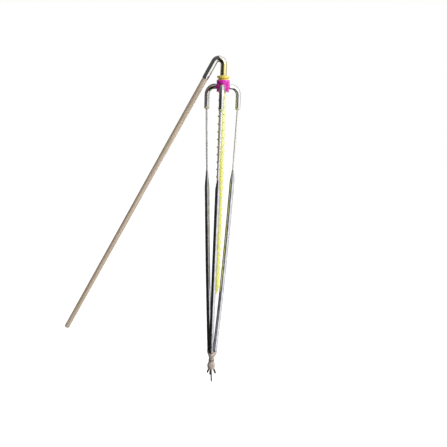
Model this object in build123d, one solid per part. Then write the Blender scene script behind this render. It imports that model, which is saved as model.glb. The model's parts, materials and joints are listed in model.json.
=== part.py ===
from build123d import *
import math
import os

# Rotating sparkler: a wooden stick carries a bent tube, from which a helical rod hangs.
# A hub with three arms runs on the rod, and each arm carries a sparkler.
# Sizes are in millimetres and angles in degrees. While the pieces are made, the rod's
# axis is the Z axis and the top of the hub lies at height 0. The finished pieces are
# moved so that the origin is the grip point on the stick.

# Handle stick
STICK_DIAMETER = 5.5
STICK_EXPOSED = 332.0
STICK_ANGLE = 28.75
STICK_CHAMFER = 0.4
TENON_DEPTH = 17.0
GRIP_FROM_BUTT = 60.0

# Bent tube over the top
TUBE_DIAMETER = 6.4
TUBE_WALL = 0.6
TUBE_BEND_RADIUS = 4.95
TUBE_ROD_LEG = 11.0
TUBE_STICK_LEG = 19.0

# Helical rod: a round core with one ridge that winds round it
ROD_CORE_RADIUS = 3.35
ROD_RIDGE_HEIGHT = 1.0
ROD_RIDGE_NOSE = 1.5
ROD_PITCH = 8.0
ROD_LENGTH = 242.0
ROD_TAPER = 12.0
ROD_TIP_DIAMETER = 3.6
ROD_HEAD_DIAMETER = 10.2
ROD_HEAD_THICKNESS = 1.0
ROD_SPIGOT_LENGTH = 9.0

# Push collar on top of the hub
COLLAR_FLANGE_DIAMETER = 12.4
COLLAR_FLANGE_THICKNESS = 2.1
COLLAR_NECK_DIAMETER = 10.2
COLLAR_NECK_SHOWN = 1.7
COLLAR_NECK_IN_HUB = 2.0
COLLAR_EDGE = 0.45

# Hub
HUB_RIM_DIAMETER = 13.2
HUB_RIM_HEIGHT = 3.6
HUB_BARREL_DIAMETER = 11.6
HUB_BARREL_HEIGHT = 10.4
HUB_EDGE = 0.5
LUG_WIDTH = 3.2
LUG_REACH = 6.5
LUG_DROP = 11.7
BOSS_DIAMETER = 5.4
BOSS_REACH = 6.9
BOSS_BELOW_RIM = 0.2

# Arms, the plugs in their lower ends, and their angles round the rod
ARM_DIAMETER = 5.2
ARM_WALL = 0.7
ARM_STRAIGHT = 3.0
ARM_BEND_RADIUS = 9.0
ARM_DROP_LEG = 12.0
PLUG_LIP_DIAMETER = 5.5
PLUG_LIP_THICKNESS = 1.8
PLUG_LIP_EDGE = 0.5
PLUG_DEPTH = 6.0
ARM_ANGLES = {"left": 150.0, "front": 267.0, "right": 30.0}

# Sparklers: a bare wire, and a dipped coat that starts at its own height on each.
# Their lower ends are gathered round a line that lies a little beside the rod's axis,
# and between there and its arm each bows outwards along an arc.
WIRE_DIAMETER = 2.2
WIRE_IN_ARM = 8.0
COAT_DIAMETER = 5.4
COAT_LENGTHS = {"left": 226.0, "front": 221.0, "right": 228.0}
COAT_RUN_IN = 14.0
COAT_RUN_IN_SKIN = 0.25
COAT_END_EDGE = 1.0
COAT_PAST_WIRE = 1.5
SPARKLER_DROP = 293.0
SPARKLER_BOWS = {"left": 0.9, "front": 1.3, "right": 2.1}
GATHER_RADIUS = 3.6
GATHER_TURN = -13.0
GATHER_SHIFT = 2.4

# Paper wrap that gathers the three ends, the thread round its waist, and what it holds
WRAP_COVER = 2.6
WRAP_MOUTH_RADIUS = 4.2
WRAP_SHOULDER_RADIUS = 5.6
WRAP_WAIST_RADIUS = 3.0
WRAP_WAIST_DROP = 10.2
WRAP_SKIRT_RADIUS = 4.6
WRAP_FOOT_RADIUS = 4.2
WRAP_DROP = 21.8
TIE_THREAD_DIAMETER = 0.5
TIE_TURNS = 3
TIE_PITCH = 0.95
TIE_TAIL = 0.6
PRIMER_DIAMETER = 2.2
PRIMER_TUCK = 2.0
PRIMER_SHOWN = {"left": 10.5, "front": 7.0, "right": 10.0}
PRIMER_ROOT_RADIUS = 2.7
PRIMER_SPLAY = 19.0
PRIMER_TURN = -10.0
WICK_DIAMETER = 1.6
WICK_TUCK = 5.0
WICK_SHOWN = 19.2
WICK_LEAN = 4.0
WICK_BEND_RADIUS = 60.0

# Clearances
PUSH_FIT = 0.05
RUNNING_FIT = 0.1
SLIDE_GAP = 0.2
REST_GAP = 0.3
THREAD_GAP = 0.25
CAST_FIT = 0.02

# Heights and radii that follow from the sizes above
collar_flange_bottom = COLLAR_NECK_SHOWN
collar_top = collar_flange_bottom + COLLAR_FLANGE_THICKNESS
tube_end = collar_top + SLIDE_GAP
rod_head_bottom = tube_end - ROD_HEAD_THICKNESS
rod_bottom = rod_head_bottom - ROD_LENGTH
ridge_radius = ROD_CORE_RADIUS + ROD_RIDGE_HEIGHT
tube_bore = TUBE_DIAMETER - 2 * TUBE_WALL
arm_bore = ARM_DIAMETER - 2 * ARM_WALL
arm_axis = -HUB_RIM_HEIGHT - BOSS_BELOW_RIM - BOSS_DIAMETER / 2
arm_circle = BOSS_REACH + ARM_STRAIGHT + ARM_BEND_RADIUS
arm_end = arm_axis - ARM_BEND_RADIUS - ARM_DROP_LEG
coat_end = arm_end - SPARKLER_DROP
wrap_top = coat_end + WRAP_COVER
wrap_waist = coat_end - WRAP_WAIST_DROP
wrap_bottom = coat_end - WRAP_DROP
tie_height = TIE_TURNS * TIE_PITCH + TIE_THREAD_DIAMETER

# The stick's line: down and outwards from the mouth of the bent tube
bend_turn = 180 - STICK_ANGLE
stick_direction = Vector(-math.sin(math.radians(STICK_ANGLE)), 0, -math.cos(math.radians(STICK_ANGLE)))
bend_start = Vector(0, 0, tube_end + TUBE_ROD_LEG)
bend_centre = bend_start + Vector(-TUBE_BEND_RADIUS, 0, 0)


def on_bend(turn):
    """The point of the tube's centre line that lies a given turn past the start of its bend."""
    across = TUBE_BEND_RADIUS * math.cos(math.radians(turn))
    up = TUBE_BEND_RADIUS * math.sin(math.radians(turn))
    return bend_centre + Vector(across, 0, up)


tube_mouth = on_bend(bend_turn) + stick_direction * TUBE_STICK_LEG
stick_butt = tube_mouth + stick_direction * STICK_EXPOSED
grip_point = stick_butt - stick_direction * GRIP_FROM_BUTT


def save(name, shape):
    """Move a finished piece so that the grip point is the origin, and write it."""
    export_step(Pos(-grip_point.X, -grip_point.Y, -grip_point.Z) * shape, f"parts/{name}.step")


def round_bar(start, end, diameter):
    """A plain round bar between two points."""
    run = end - start
    middle = Plane(origin=start, z_dir=run.normalized())
    return extrude(middle * Circle(diameter / 2), amount=run.length)


def round_rod(radius, angle, height):
    """A point given by its radius, its angle round the rod and its height."""
    return Vector(radius * math.cos(math.radians(angle)), radius * math.sin(math.radians(angle)), height)


def turned(points):
    """A solid of revolution about Z from (radius, height) corners, listed from bottom to top."""
    outline = Polyline(*[(radius, 0, height) for radius, height in points], close=True)
    return revolve(make_face(outline), Axis.Z)


def bent_pipe(path, diameter, bore):
    """A pipe of steady wall along a path of lines and arcs."""
    section = Plane(origin=path @ 0, z_dir=path % 0)
    return sweep(section * Circle(diameter / 2), path) - sweep(section * Circle(bore / 2), path)


def handle_stick():
    """A plain dowel, turned down a little where it pushes into the tube."""
    tenon_radius = tube_bore / 2 - PUSH_FIT
    radius = STICK_DIAMETER / 2
    total = STICK_EXPOSED + TENON_DEPTH
    profile = [
        (0, 0),
        (radius - STICK_CHAMFER, 0),
        (radius, STICK_CHAMFER),
        (radius, STICK_EXPOSED),
        (tenon_radius, STICK_EXPOSED),
        (tenon_radius, total - STICK_CHAMFER),
        (tenon_radius - STICK_CHAMFER, total),
        (0, total),
    ]
    return Plane(origin=stick_butt, z_dir=-stick_direction) * turned(profile)


def bent_tube():
    """The tube that turns from the rod's line to the stick's."""
    path = Line((0, 0, tube_end), bend_start)
    path += ThreePointArc(bend_start, on_bend(bend_turn / 2), on_bend(bend_turn))
    path += Line(on_bend(bend_turn), tube_mouth)
    return bent_pipe(path, TUBE_DIAMETER, tube_bore)


def lobed_section(gap):
    """The rod's cross-section, a circle with one rounded lobe, grown by a gap all round."""
    base = ROD_CORE_RADIUS + gap
    nose = ROD_RIDGE_NOSE + gap
    reach = ridge_radius - ROD_RIDGE_NOSE
    flank = math.acos((base - nose) / reach)
    base_top = (base * math.cos(flank), base * math.sin(flank))
    base_low = (base * math.cos(flank), -base * math.sin(flank))
    nose_top = (reach + nose * math.cos(flank), nose * math.sin(flank))
    nose_low = (reach + nose * math.cos(flank), -nose * math.sin(flank))
    outline = ThreePointArc(base_top, (-base, 0), base_low)
    outline += Line(base_low, nose_low)
    outline += ThreePointArc(nose_low, (reach + nose, 0), nose_top)
    outline += Line(nose_top, base_top)
    return make_face(outline).faces()[0]


def helical_bar(bottom, top, gap):
    """The rod's section wound along Z, right-handed, with its lobe towards +X at height 0."""
    start_turn = 360 * bottom / ROD_PITCH
    turn = 360 * (top - bottom) / ROD_PITCH
    section = Pos(0, 0, bottom) * Rot(0, 0, start_turn) * lobed_section(gap)
    return Solid.extrude_linear_with_rotation(section, (0, 0, bottom), (0, 0, top - bottom), turn)


def screw_rod():
    """The helical rod with its tapered foot, its head and the spigot that the tube holds."""
    outside = ridge_radius + REST_GAP
    envelope = turned([
        (0, rod_bottom),
        (ROD_TIP_DIAMETER / 2, rod_bottom),
        (outside, rod_bottom + ROD_TAPER),
        (outside, rod_head_bottom),
        (0, rod_head_bottom),
    ])
    spigot_radius = tube_bore / 2 - PUSH_FIT
    head = turned([
        (0, rod_head_bottom),
        (ROD_HEAD_DIAMETER / 2, rod_head_bottom),
        (ROD_HEAD_DIAMETER / 2, tube_end),
        (spigot_radius, tube_end),
        (spigot_radius, tube_end + ROD_SPIGOT_LENGTH),
        (0, tube_end + ROD_SPIGOT_LENGTH),
    ])
    return (helical_bar(rod_bottom, rod_head_bottom, 0) & envelope) + head


def push_collar():
    """The flanged collar that slides down the rod and carries the turning hub."""
    bore_radius = ridge_radius + SLIDE_GAP
    recess_radius = ROD_HEAD_DIAMETER / 2 + REST_GAP
    recess_floor = rod_head_bottom - REST_GAP
    flange_radius = COLLAR_FLANGE_DIAMETER / 2
    neck_radius = COLLAR_NECK_DIAMETER / 2
    return turned([
        (bore_radius, -COLLAR_NECK_IN_HUB),
        (neck_radius, -COLLAR_NECK_IN_HUB),
        (neck_radius, collar_flange_bottom),
        (flange_radius - COLLAR_EDGE, collar_flange_bottom),
        (flange_radius, collar_flange_bottom + COLLAR_EDGE),
        (flange_radius, collar_top - COLLAR_EDGE),
        (flange_radius - COLLAR_EDGE, collar_top),
        (recess_radius, collar_top),
        (recess_radius, recess_floor),
        (bore_radius, recess_floor),
    ])


def hub():
    """The turning hub: rim, barrel, three lugs, three arm spigots and the nut thread inside."""
    rim_radius = HUB_RIM_DIAMETER / 2
    barrel_radius = HUB_BARREL_DIAMETER / 2
    body = turned([
        (0, -HUB_BARREL_HEIGHT),
        (barrel_radius - HUB_EDGE, -HUB_BARREL_HEIGHT),
        (barrel_radius, -HUB_BARREL_HEIGHT + HUB_EDGE),
        (barrel_radius, -HUB_RIM_HEIGHT),
        (rim_radius - HUB_EDGE, -HUB_RIM_HEIGHT),
        (rim_radius, -HUB_RIM_HEIGHT + HUB_EDGE),
        (rim_radius, -HUB_EDGE),
        (rim_radius - HUB_EDGE, 0),
        (0, 0),
    ])
    lug_height = LUG_DROP - HUB_RIM_HEIGHT / 2
    lug = Pos(LUG_REACH / 2, 0, -LUG_DROP + lug_height / 2) * Box(LUG_REACH, LUG_WIDTH, lug_height)
    lug_edges = lug.edges().filter_by(Axis.Z).group_by(Axis.X)[-1]
    lug_edges += lug.edges().filter_by(Axis.Y).group_by(Axis.Z)[0].group_by(Axis.X)[-1]
    lug = fillet(lug_edges, HUB_EDGE)
    boss_root = Vector(0, 0, arm_axis)
    boss = round_bar(boss_root, boss_root + Vector(BOSS_REACH, 0, 0), BOSS_DIAMETER)
    spigot_end = Vector(BOSS_REACH + ARM_STRAIGHT - SLIDE_GAP, 0, arm_axis)
    spigot = round_bar(boss_root, spigot_end, arm_bore - 2 * PUSH_FIT)
    for angle in ARM_ANGLES.values():
        body += Rot(0, 0, angle) * boss
        body += Rot(0, 0, angle) * spigot
        body += Rot(0, 0, angle + 60) * lug
    seat_radius = COLLAR_NECK_DIAMETER / 2 + RUNNING_FIT
    seat_floor = -COLLAR_NECK_IN_HUB - REST_GAP
    body -= turned([(0, seat_floor), (seat_radius, seat_floor), (seat_radius, REST_GAP), (0, REST_GAP)])
    return body - helical_bar(-LUG_DROP - REST_GAP, 0, THREAD_GAP)


def arm():
    """One J-shaped pipe arm, along +X."""
    bend_top = Vector(BOSS_REACH + ARM_STRAIGHT, 0, arm_axis)
    bend_foot = Vector(arm_circle, 0, arm_axis - ARM_BEND_RADIUS)
    half = ARM_BEND_RADIUS * math.sin(math.radians(45))
    bend_middle = Vector(bend_top.X + half, 0, bend_foot.Z + half)
    path = Line((BOSS_REACH, 0, arm_axis), bend_top)
    path += ThreePointArc(bend_top, bend_middle, bend_foot)
    path += Line(bend_foot, (arm_circle, 0, arm_end))
    return bent_pipe(path, ARM_DIAMETER, arm_bore)


def sparkler_chord(side):
    """The straight line under a sparkler's arc: a plane with Z along it and X outwards, and its length."""
    angle = ARM_ANGLES[side]
    foot = round_rod(GATHER_RADIUS, angle + GATHER_TURN, coat_end) - Vector(GATHER_SHIFT, 0, 0)
    chord = round_rod(arm_circle, angle, arm_end) - foot
    across = chord.cross(round_rod(1, angle, 0))
    return Plane(origin=foot, x_dir=across.cross(chord).normalized(), z_dir=chord.normalized()), chord.length


def bow_radius(side):
    """The radius of a sparkler's arc."""
    bow = SPARKLER_BOWS[side]
    return (sparkler_chord(side)[1] ** 2 / 4 + bow**2) / (2 * bow)


def sparkler_length(side):
    """The length of a sparkler's arc from its lower end to its arm."""
    radius = bow_radius(side)
    return 2 * radius * math.asin(sparkler_chord(side)[1] / 2 / radius)


def on_sparkler(side, distance):
    """A plane across a sparkler's arc at a distance from its lower end, with Z along the arc."""
    place, chord = sparkler_chord(side)
    radius = bow_radius(side)
    turn = (distance - sparkler_length(side) / 2) / radius
    out = SPARKLER_BOWS[side] - radius + radius * math.cos(turn)
    along = chord / 2 + radius * math.sin(turn)
    way = place.z_dir * math.cos(turn) - place.x_dir * math.sin(turn)
    return Plane(origin=place.origin + place.x_dir * out + place.z_dir * along, z_dir=way)


def sparkler_bar(side, bottom, top, diameter):
    """A bowed round bar on a sparkler's arc between two distances from its lower end."""
    start, middle, end = [on_sparkler(side, distance) for distance in (bottom, (bottom + top) / 2, top)]
    return sweep(start * Circle(diameter / 2), ThreePointArc(start.origin, middle.origin, end.origin))


def sparkler_peg(side, distance, below, above, diameter):
    """A short straight bar along a sparkler at a distance from its lower end."""
    middle = on_sparkler(side, distance)
    return round_bar(middle.origin - middle.z_dir * below, middle.origin + middle.z_dir * above, diameter)


def on_bundle(shape):
    """Put a piece made round the Z axis on the axis of the gathered ends."""
    return Pos(-GATHER_SHIFT, 0, 0) * shape


def arm_plug(side):
    """The plug that closes an arm's end and grips the wire."""
    body_radius = arm_bore / 2 - PUSH_FIT
    lip_radius = PLUG_LIP_DIAMETER / 2
    plug = turned([
        (0, arm_end - PLUG_LIP_THICKNESS),
        (lip_radius - PLUG_LIP_EDGE, arm_end - PLUG_LIP_THICKNESS),
        (lip_radius, arm_end - PLUG_LIP_THICKNESS + PLUG_LIP_EDGE),
        (lip_radius, arm_end),
        (body_radius, arm_end),
        (body_radius, arm_end + PLUG_DEPTH),
        (0, arm_end + PLUG_DEPTH),
    ])
    below, above = 2 * PLUG_LIP_THICKNESS, 2 * PLUG_DEPTH
    hole = sparkler_peg(side, sparkler_length(side), below, above, WIRE_DIAMETER + 2 * PUSH_FIT)
    return Pos(round_rod(arm_circle, ARM_ANGLES[side], 0)) * plug - hole


def sparkler_wire(side):
    """The steel wire, from inside the arm to just above the lower end of its coat."""
    top = sparkler_length(side) + WIRE_IN_ARM
    print(f"wire length {top - COAT_PAST_WIRE:.1f} mm")
    return sparkler_bar(side, COAT_PAST_WIRE, top, WIRE_DIAMETER)


def sparkler_coat(side):
    """The dipped coat: it thins out at its top and closes over the wire at its foot."""
    radius = COAT_DIAMETER / 2
    length = COAT_LENGTHS[side]
    thin_radius = WIRE_DIAMETER / 2 + CAST_FIT + COAT_RUN_IN_SKIN
    shoulder = length - COAT_RUN_IN
    edge = turned([(0, -COAT_END_EDGE), (radius - COAT_END_EDGE, -COAT_END_EDGE), (radius, 0), (0, 0)])
    run_in = turned([(0, 0), (radius, 0), (thin_radius, COAT_RUN_IN), (0, COAT_RUN_IN)])
    coat = sparkler_bar(side, COAT_END_EDGE, shoulder, COAT_DIAMETER)
    coat += on_sparkler(side, COAT_END_EDGE) * edge
    coat += on_sparkler(side, shoulder) * run_in
    wire_room = WIRE_DIAMETER + 2 * CAST_FIT
    return coat - sparkler_bar(side, COAT_PAST_WIRE - CAST_FIT, length + COAT_RUN_IN, wire_room)


def primer_line(shown):
    """The start and the end of one primed match end, along +X."""
    splay = math.radians(PRIMER_SPLAY)
    along = Vector(math.sin(splay), 0, -math.cos(splay))
    mouth = Vector(PRIMER_ROOT_RADIUS, 0, wrap_bottom)
    return mouth - along * PRIMER_TUCK, mouth + along * shown


def primer_end(shown):
    """A short black match end that splays out of the wrap, with rounded ends."""
    start, end = primer_line(shown)
    bar = round_bar(start, end, PRIMER_DIAMETER)
    return fillet(bar.edges(), PRIMER_DIAMETER / 4)


def wick_path():
    """The wick's line: straight out of the wrap, then a gentle lean."""
    lean = math.radians(WICK_LEAN)
    shown = WICK_SHOWN / 2
    corner = Vector(0, 0, wrap_bottom - shown)
    end = corner + Vector(math.sin(lean), 0, -math.cos(lean)) * shown
    return FilletPolyline((0, 0, wrap_bottom + WICK_TUCK), corner, end, radius=WICK_BEND_RADIUS)


def wick():
    """The thin fuse that hangs from the middle of the wrap."""
    path = wick_path()
    return sweep(Plane(origin=path @ 0, z_dir=path % 0) * Circle(WICK_DIAMETER / 2), path)


def tip_wrap(held):
    """The gathered paper: two bulges and a waist, with hollows for the pieces that it holds."""
    waist_top = wrap_waist + tie_height / 2
    waist_low = wrap_waist - tie_height / 2
    shoulder = (WRAP_SHOULDER_RADIUS, 0, (wrap_top + waist_top) / 2)
    skirt = (WRAP_SKIRT_RADIUS, 0, (wrap_bottom + waist_low) / 2)
    outline = Polyline((0, 0, wrap_bottom), (0, 0, wrap_top), (WRAP_MOUTH_RADIUS, 0, wrap_top))
    outline += ThreePointArc((WRAP_MOUTH_RADIUS, 0, wrap_top), shoulder, (WRAP_WAIST_RADIUS, 0, waist_top))
    outline += Line((WRAP_WAIST_RADIUS, 0, waist_top), (WRAP_WAIST_RADIUS, 0, waist_low))
    outline += ThreePointArc((WRAP_WAIST_RADIUS, 0, waist_low), skirt, (WRAP_FOOT_RADIUS, 0, wrap_bottom))
    outline += Line((WRAP_FOOT_RADIUS, 0, wrap_bottom), (0, 0, wrap_bottom))
    paper = on_bundle(revolve(make_face(outline), Axis.Z))
    for piece in held:
        paper -= piece
    return paper


def biarc(start, start_way, end, end_way):
    """Two arcs that leave one point along a direction and reach another along its own."""
    run = end - start
    ways = start_way + end_way
    spread = 2 * (1 - start_way.dot(end_way))
    along = run.dot(ways)
    reach = (math.sqrt(along * along + spread * run.dot(run)) - along) / spread
    first_corner = start + start_way * reach
    last_corner = end - end_way * reach
    middle = (first_corner + last_corner) * 0.5
    middle_way = (last_corner - first_corner).normalized()
    return [Edge.make_tangent_arc(start, start_way, middle), Edge.make_tangent_arc(middle, middle_way, end)]


def wrap_tie():
    """The thread wound round the waist, one unbroken tube with a short straight tail at each end."""
    radius = WRAP_WAIST_RADIUS + TIE_THREAD_DIAMETER / 2 + CAST_FIT
    low = wrap_waist - TIE_TURNS * TIE_PITCH / 2
    rise = TIE_PITCH / (2 * math.pi)

    def at(turn):
        return Vector(radius * math.cos(turn), radius * math.sin(turn), low + rise * turn)

    def way(turn):
        return Vector(-radius * math.sin(turn), radius * math.cos(turn), rise).normalized()

    quarters = [quarter * math.pi / 2 for quarter in range(4 * TIE_TURNS + 1)]
    edges = [Edge.make_line(at(quarters[0]) - way(quarters[0]) * TIE_TAIL, at(quarters[0]))]
    for turn, next_turn in zip(quarters, quarters[1:]):
        edges += biarc(at(turn), way(turn), at(next_turn), way(next_turn))
    edges.append(Edge.make_line(at(quarters[-1]), at(quarters[-1]) + way(quarters[-1]) * TIE_TAIL))
    path = Wire(edges)
    steps = 40 * TIE_TURNS
    turns = [2 * math.pi * TIE_TURNS * step / steps for step in range(steps + 1)]
    gaps = [
        (at(one) - at(other)).length - TIE_THREAD_DIAMETER
        for one in turns
        for other in turns
        if other - one > math.pi
    ]
    print(f"tie thread: least gap to itself {min(gaps):.3f} mm")
    section = Plane(origin=path @ 0, z_dir=path % 0)
    return sweep(section * Circle(TIE_THREAD_DIAMETER / 2), path)


def coat_cutter(side, gap):
    """The room for one coat's lower end in the paper."""
    return sparkler_peg(side, 0, gap, 4 * WRAP_COVER, COAT_DIAMETER + 2 * gap)


def primer_cutter(shown, gap):
    """The room for one match end in the paper, along +X."""
    start, end = primer_line(shown)
    along = (end - start).normalized()
    return round_bar(start - along * gap, end, PRIMER_DIAMETER + 2 * gap)


def wick_cutter(gap):
    """The room for the wick in the paper."""
    top = Vector(0, 0, wrap_bottom + WICK_TUCK + gap)
    return round_bar(top, Vector(0, 0, wrap_bottom - WICK_TUCK), WICK_DIAMETER + 2 * gap)


os.makedirs("parts", exist_ok=True)

save("handle_stick", handle_stick())
save("bent_tube", bent_tube())
save("screw_rod", screw_rod())
save("push_collar", push_collar())
save("hub", hub())

one_arm = arm()
hollows = [on_bundle(wick_cutter(CAST_FIT))]
for side, angle in ARM_ANGLES.items():
    turn = Rot(0, 0, angle)
    primer_turn = Rot(0, 0, angle + PRIMER_TURN)
    save(f"arm_{side}", turn * one_arm)
    save(f"arm_plug_{side}", arm_plug(side))
    save(f"sparkler_wire_{side}", sparkler_wire(side))
    save(f"sparkler_coat_{side}", sparkler_coat(side))
    save(f"primer_end_{side}", on_bundle(primer_turn * primer_end(PRIMER_SHOWN[side])))
    hollows.append(coat_cutter(side, CAST_FIT))
    hollows.append(on_bundle(primer_turn * primer_cutter(PRIMER_SHOWN[side], CAST_FIT)))

save("tip_wrap", tip_wrap(hollows))
save("wrap_tie", on_bundle(wrap_tie()))
save("wick", on_bundle(wick()))

print(f"arm circle radius {arm_circle:.1f} mm")
print(f"grip point before the move: {grip_point.X:.3f}, {grip_point.Y:.3f}, {grip_point.Z:.3f}")
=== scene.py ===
import json
import math
from functools import partial

import bmesh
import bpy
from mathutils import Matrix, Vector, noise


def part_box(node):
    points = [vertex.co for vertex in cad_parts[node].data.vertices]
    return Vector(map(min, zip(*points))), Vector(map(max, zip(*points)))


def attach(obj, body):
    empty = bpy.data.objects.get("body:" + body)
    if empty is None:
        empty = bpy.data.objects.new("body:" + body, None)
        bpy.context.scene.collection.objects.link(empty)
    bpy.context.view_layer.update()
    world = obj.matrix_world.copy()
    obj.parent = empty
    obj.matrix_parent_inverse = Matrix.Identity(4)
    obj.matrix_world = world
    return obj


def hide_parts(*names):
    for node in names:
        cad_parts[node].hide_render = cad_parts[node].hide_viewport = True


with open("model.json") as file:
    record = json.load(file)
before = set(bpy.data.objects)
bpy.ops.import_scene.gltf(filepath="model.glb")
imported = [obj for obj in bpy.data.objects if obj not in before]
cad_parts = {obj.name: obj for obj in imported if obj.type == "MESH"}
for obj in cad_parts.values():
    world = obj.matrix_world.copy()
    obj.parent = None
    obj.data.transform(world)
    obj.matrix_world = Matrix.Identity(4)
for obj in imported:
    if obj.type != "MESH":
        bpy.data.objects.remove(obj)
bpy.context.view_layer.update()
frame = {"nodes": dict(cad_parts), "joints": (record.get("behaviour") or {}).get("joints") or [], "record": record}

bl_info = {
    "name": "Rotating Sparkler",
    "version": (1, 0, 0),
    "blender": (4, 5, 0),
    "location": "View3D > Sidebar > Sparkler",
    "description": "Dresses a rotating sparkler: stick, bent tube, helical rod, hub, arms and sparklers",
    "category": "Add Mesh",
}

MM = 0.001
FULL_TURN = 2 * math.pi
MERGE_DISTANCE = 0.002 * MM
SIDES = ("left", "front", "right")

NODE_BOX = {name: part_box(name) for name in frame["nodes"]}


def middle(node):
    """The middle of a node's box."""
    low, high = NODE_BOX[node]
    return (low + high) / 2


# The rod's frame: the rod's axis is Z and the top of the hub lies at height 0
ROD_ORIGIN = Vector((middle("push_collar").x, middle("push_collar").y, NODE_BOX["hub"][1].z))
ROD_PLACE = Matrix.Translation(ROD_ORIGIN)


def low_height(node):
    """The height of a node's lowest point above the top of the hub."""
    return NODE_BOX[node][0].z - ROD_ORIGIN.z


def high_height(node):
    """The height of a node's highest point above the top of the hub."""
    return NODE_BOX[node][1].z - ROD_ORIGIN.z


def joint(name):
    """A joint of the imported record."""
    return next(one for one in frame["joints"] if one["name"] == name)


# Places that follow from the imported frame
STICK_WAY = Vector(joint("stick_pull")["axis"]).normalized()
STICK_ANGLE = math.acos(STICK_WAY.z)
SPIN_RATIO = next(one["ratio"] for one in frame["record"]["behaviour"]["couplings"])
ARM_END = low_height("arm_front")
ARM_REACH = {side: middle(f"arm_plug_{side}") - ROD_ORIGIN for side in SIDES}
ARM_ANGLE = {side: math.atan2(reach.y, reach.x) for side, reach in ARM_REACH.items()}
ARM_CIRCLE = math.hypot(ARM_REACH["front"].x, ARM_REACH["front"].y)


def length(name, description, millimetres):
    """A property that holds a length, written here in millimetres."""
    return bpy.props.FloatProperty(
        name=name, description=description, default=millimetres * MM, min=0.0, precision=5, unit="LENGTH"
    )


def angle_size(name, description, degrees):
    """A property that holds an angle, written here in degrees."""
    return bpy.props.FloatProperty(
        name=name, description=description, default=math.radians(degrees), subtype="ANGLE"
    )


def share(name, description, default):
    """A property that holds a share between nothing and all."""
    return bpy.props.FloatProperty(
        name=name, description=description, default=default, min=0.0, max=1.0, subtype="FACTOR"
    )


def colour(name, description, default):
    """A property that holds a colour."""
    return bpy.props.FloatVectorProperty(
        name=name, description=description, default=default, min=0.0, max=1.0, size=3, subtype="COLOR"
    )


class SparklerHandleSizes(bpy.types.PropertyGroup):
    """Sizes of the wooden stick and of the bent tube on top of it."""

    stick_diameter: length("Stick diameter", "Width of the wooden dowel", 5.5)
    stick_exposed: length("Stick length", "Length of the dowel below the tube", 332.0)
    stick_chamfer: length("Stick chamfer", "Break of the dowel's cut edges", 0.4)
    tenon_diameter: length("Tenon diameter", "Width of the dowel inside the tube", 5.1)
    tenon_depth: length("Tenon depth", "Length of the dowel inside the tube", 17.0)
    grip_from_butt: length("Grip height", "Grip point's distance from the butt end", 60.0)
    stick_unevenness: length("Stick unevenness", "How far the dowel departs from a true round", 0.09)
    tube_diameter: length("Tube diameter", "Width of the bent tube", 6.4)
    tube_wall: length("Tube wall", "Thickness of the bent tube's wall", 0.6)
    bend_radius: length("Bend radius", "Radius of the tube's bend at its middle line", 4.95)
    rod_leg: length("Rod leg", "Straight length of the tube above the rod", 11.0)
    stick_leg: length("Stick leg", "Straight length of the tube above the stick", 19.0)
    flattening: share("Bend flattening", "How much the tube flattens in its bend", 0.07)
    wrinkle: length("Bend wrinkle", "Height of the small folds on the inside of the bend", 0.11)


class SparklerRodSizes(bpy.types.PropertyGroup):
    """Sizes of the helical rod."""

    core_radius: length("Core radius", "Radius of the rod between its ridges", 3.38)
    ridge_height: length("Ridge height", "How far the ridge stands out of the core", 1.07)
    ridge_half_width: angle_size("Ridge half width", "Angle from the ridge's crest to its foot", 56.0)
    taper: length("Taper", "Length of the tapered foot", 12.0)
    tip_diameter: length("Tip diameter", "Width of the foot's end", 3.6)
    head_diameter: length("Head diameter", "Width of the head under the tube", 10.2)
    head_thickness: length("Head thickness", "Thickness of the head", 1.0)
    spigot_diameter: length("Spigot diameter", "Width of the spigot inside the tube", 5.1)
    spigot_length: length("Spigot length", "Length of the spigot inside the tube", 9.0)


class SparklerHubSizes(bpy.types.PropertyGroup):
    """Sizes of the push collar and of the hub."""

    flange_diameter: length("Flange diameter", "Width of the collar's flange", 12.4)
    flange_thickness: length("Flange thickness", "Thickness of the collar's flange", 2.1)
    neck_diameter: length("Neck diameter", "Width of the collar's neck", 10.2)
    collar_bore: length("Collar bore", "Width of the collar's hole", 9.1)
    head_recess: length("Head recess", "Width of the recess for the rod's head", 10.8)
    recess_depth: length("Recess depth", "Depth of the recess for the rod's head", 1.1)
    rim_diameter: length("Rim diameter", "Width of the hub's rim", 13.2)
    rim_height: length("Rim height", "Height of the hub's rim", 3.6)
    barrel_diameter: length("Barrel diameter", "Width of the hub below its rim", 11.6)
    barrel_height: length("Barrel height", "Height of the hub from its top", 10.4)
    hub_bore: length("Hub bore", "Width of the hub's hole", 9.2)
    seat_diameter: length("Seat diameter", "Width of the hub's seat for the collar", 10.4)
    seat_depth: length("Seat depth", "Depth of the hub's seat for the collar", 2.3)
    lug_width: length("Lug width", "Width of the hanging lugs", 3.2)
    lug_reach: length("Lug reach", "Outer face of the lugs from the rod's axis", 6.5)
    boss_diameter: length("Boss diameter", "Width of the bosses that carry the arms", 5.4)
    boss_reach: length("Boss reach", "Outer face of the bosses from the rod's axis", 6.9)
    arm_drop: length("Arm drop", "Depth of the arms' axes below the top of the hub", 6.5)
    edge: length("Edge", "Rounding of the moulded edges", 0.4)


class SparklerArmSizes(bpy.types.PropertyGroup):
    """Sizes of the pipe arms and of the plugs in their ends."""

    arm_diameter: length("Arm diameter", "Width of a pipe arm", 5.2)
    arm_wall: length("Arm wall", "Thickness of a pipe arm's wall", 0.7)
    straight: length("Arm straight", "Straight length between the boss and the bend", 3.0)
    bend_radius: length("Arm bend", "Radius of the arm's bend at its middle line", 9.0)
    flattening: share("Arm flattening", "How much an arm flattens in its bend", 0.04)
    lip_diameter: length("Plug lip", "Width of a plug's lip", 5.5)
    lip_edge: length("Plug edge", "Rounding of a plug's lip", 0.5)
    plug_depth: length("Plug depth", "Length of a plug inside the arm", 6.0)
    socket_depth: length("Socket depth", "Depth of the plug's hole for the wire", 3.0)


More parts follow.
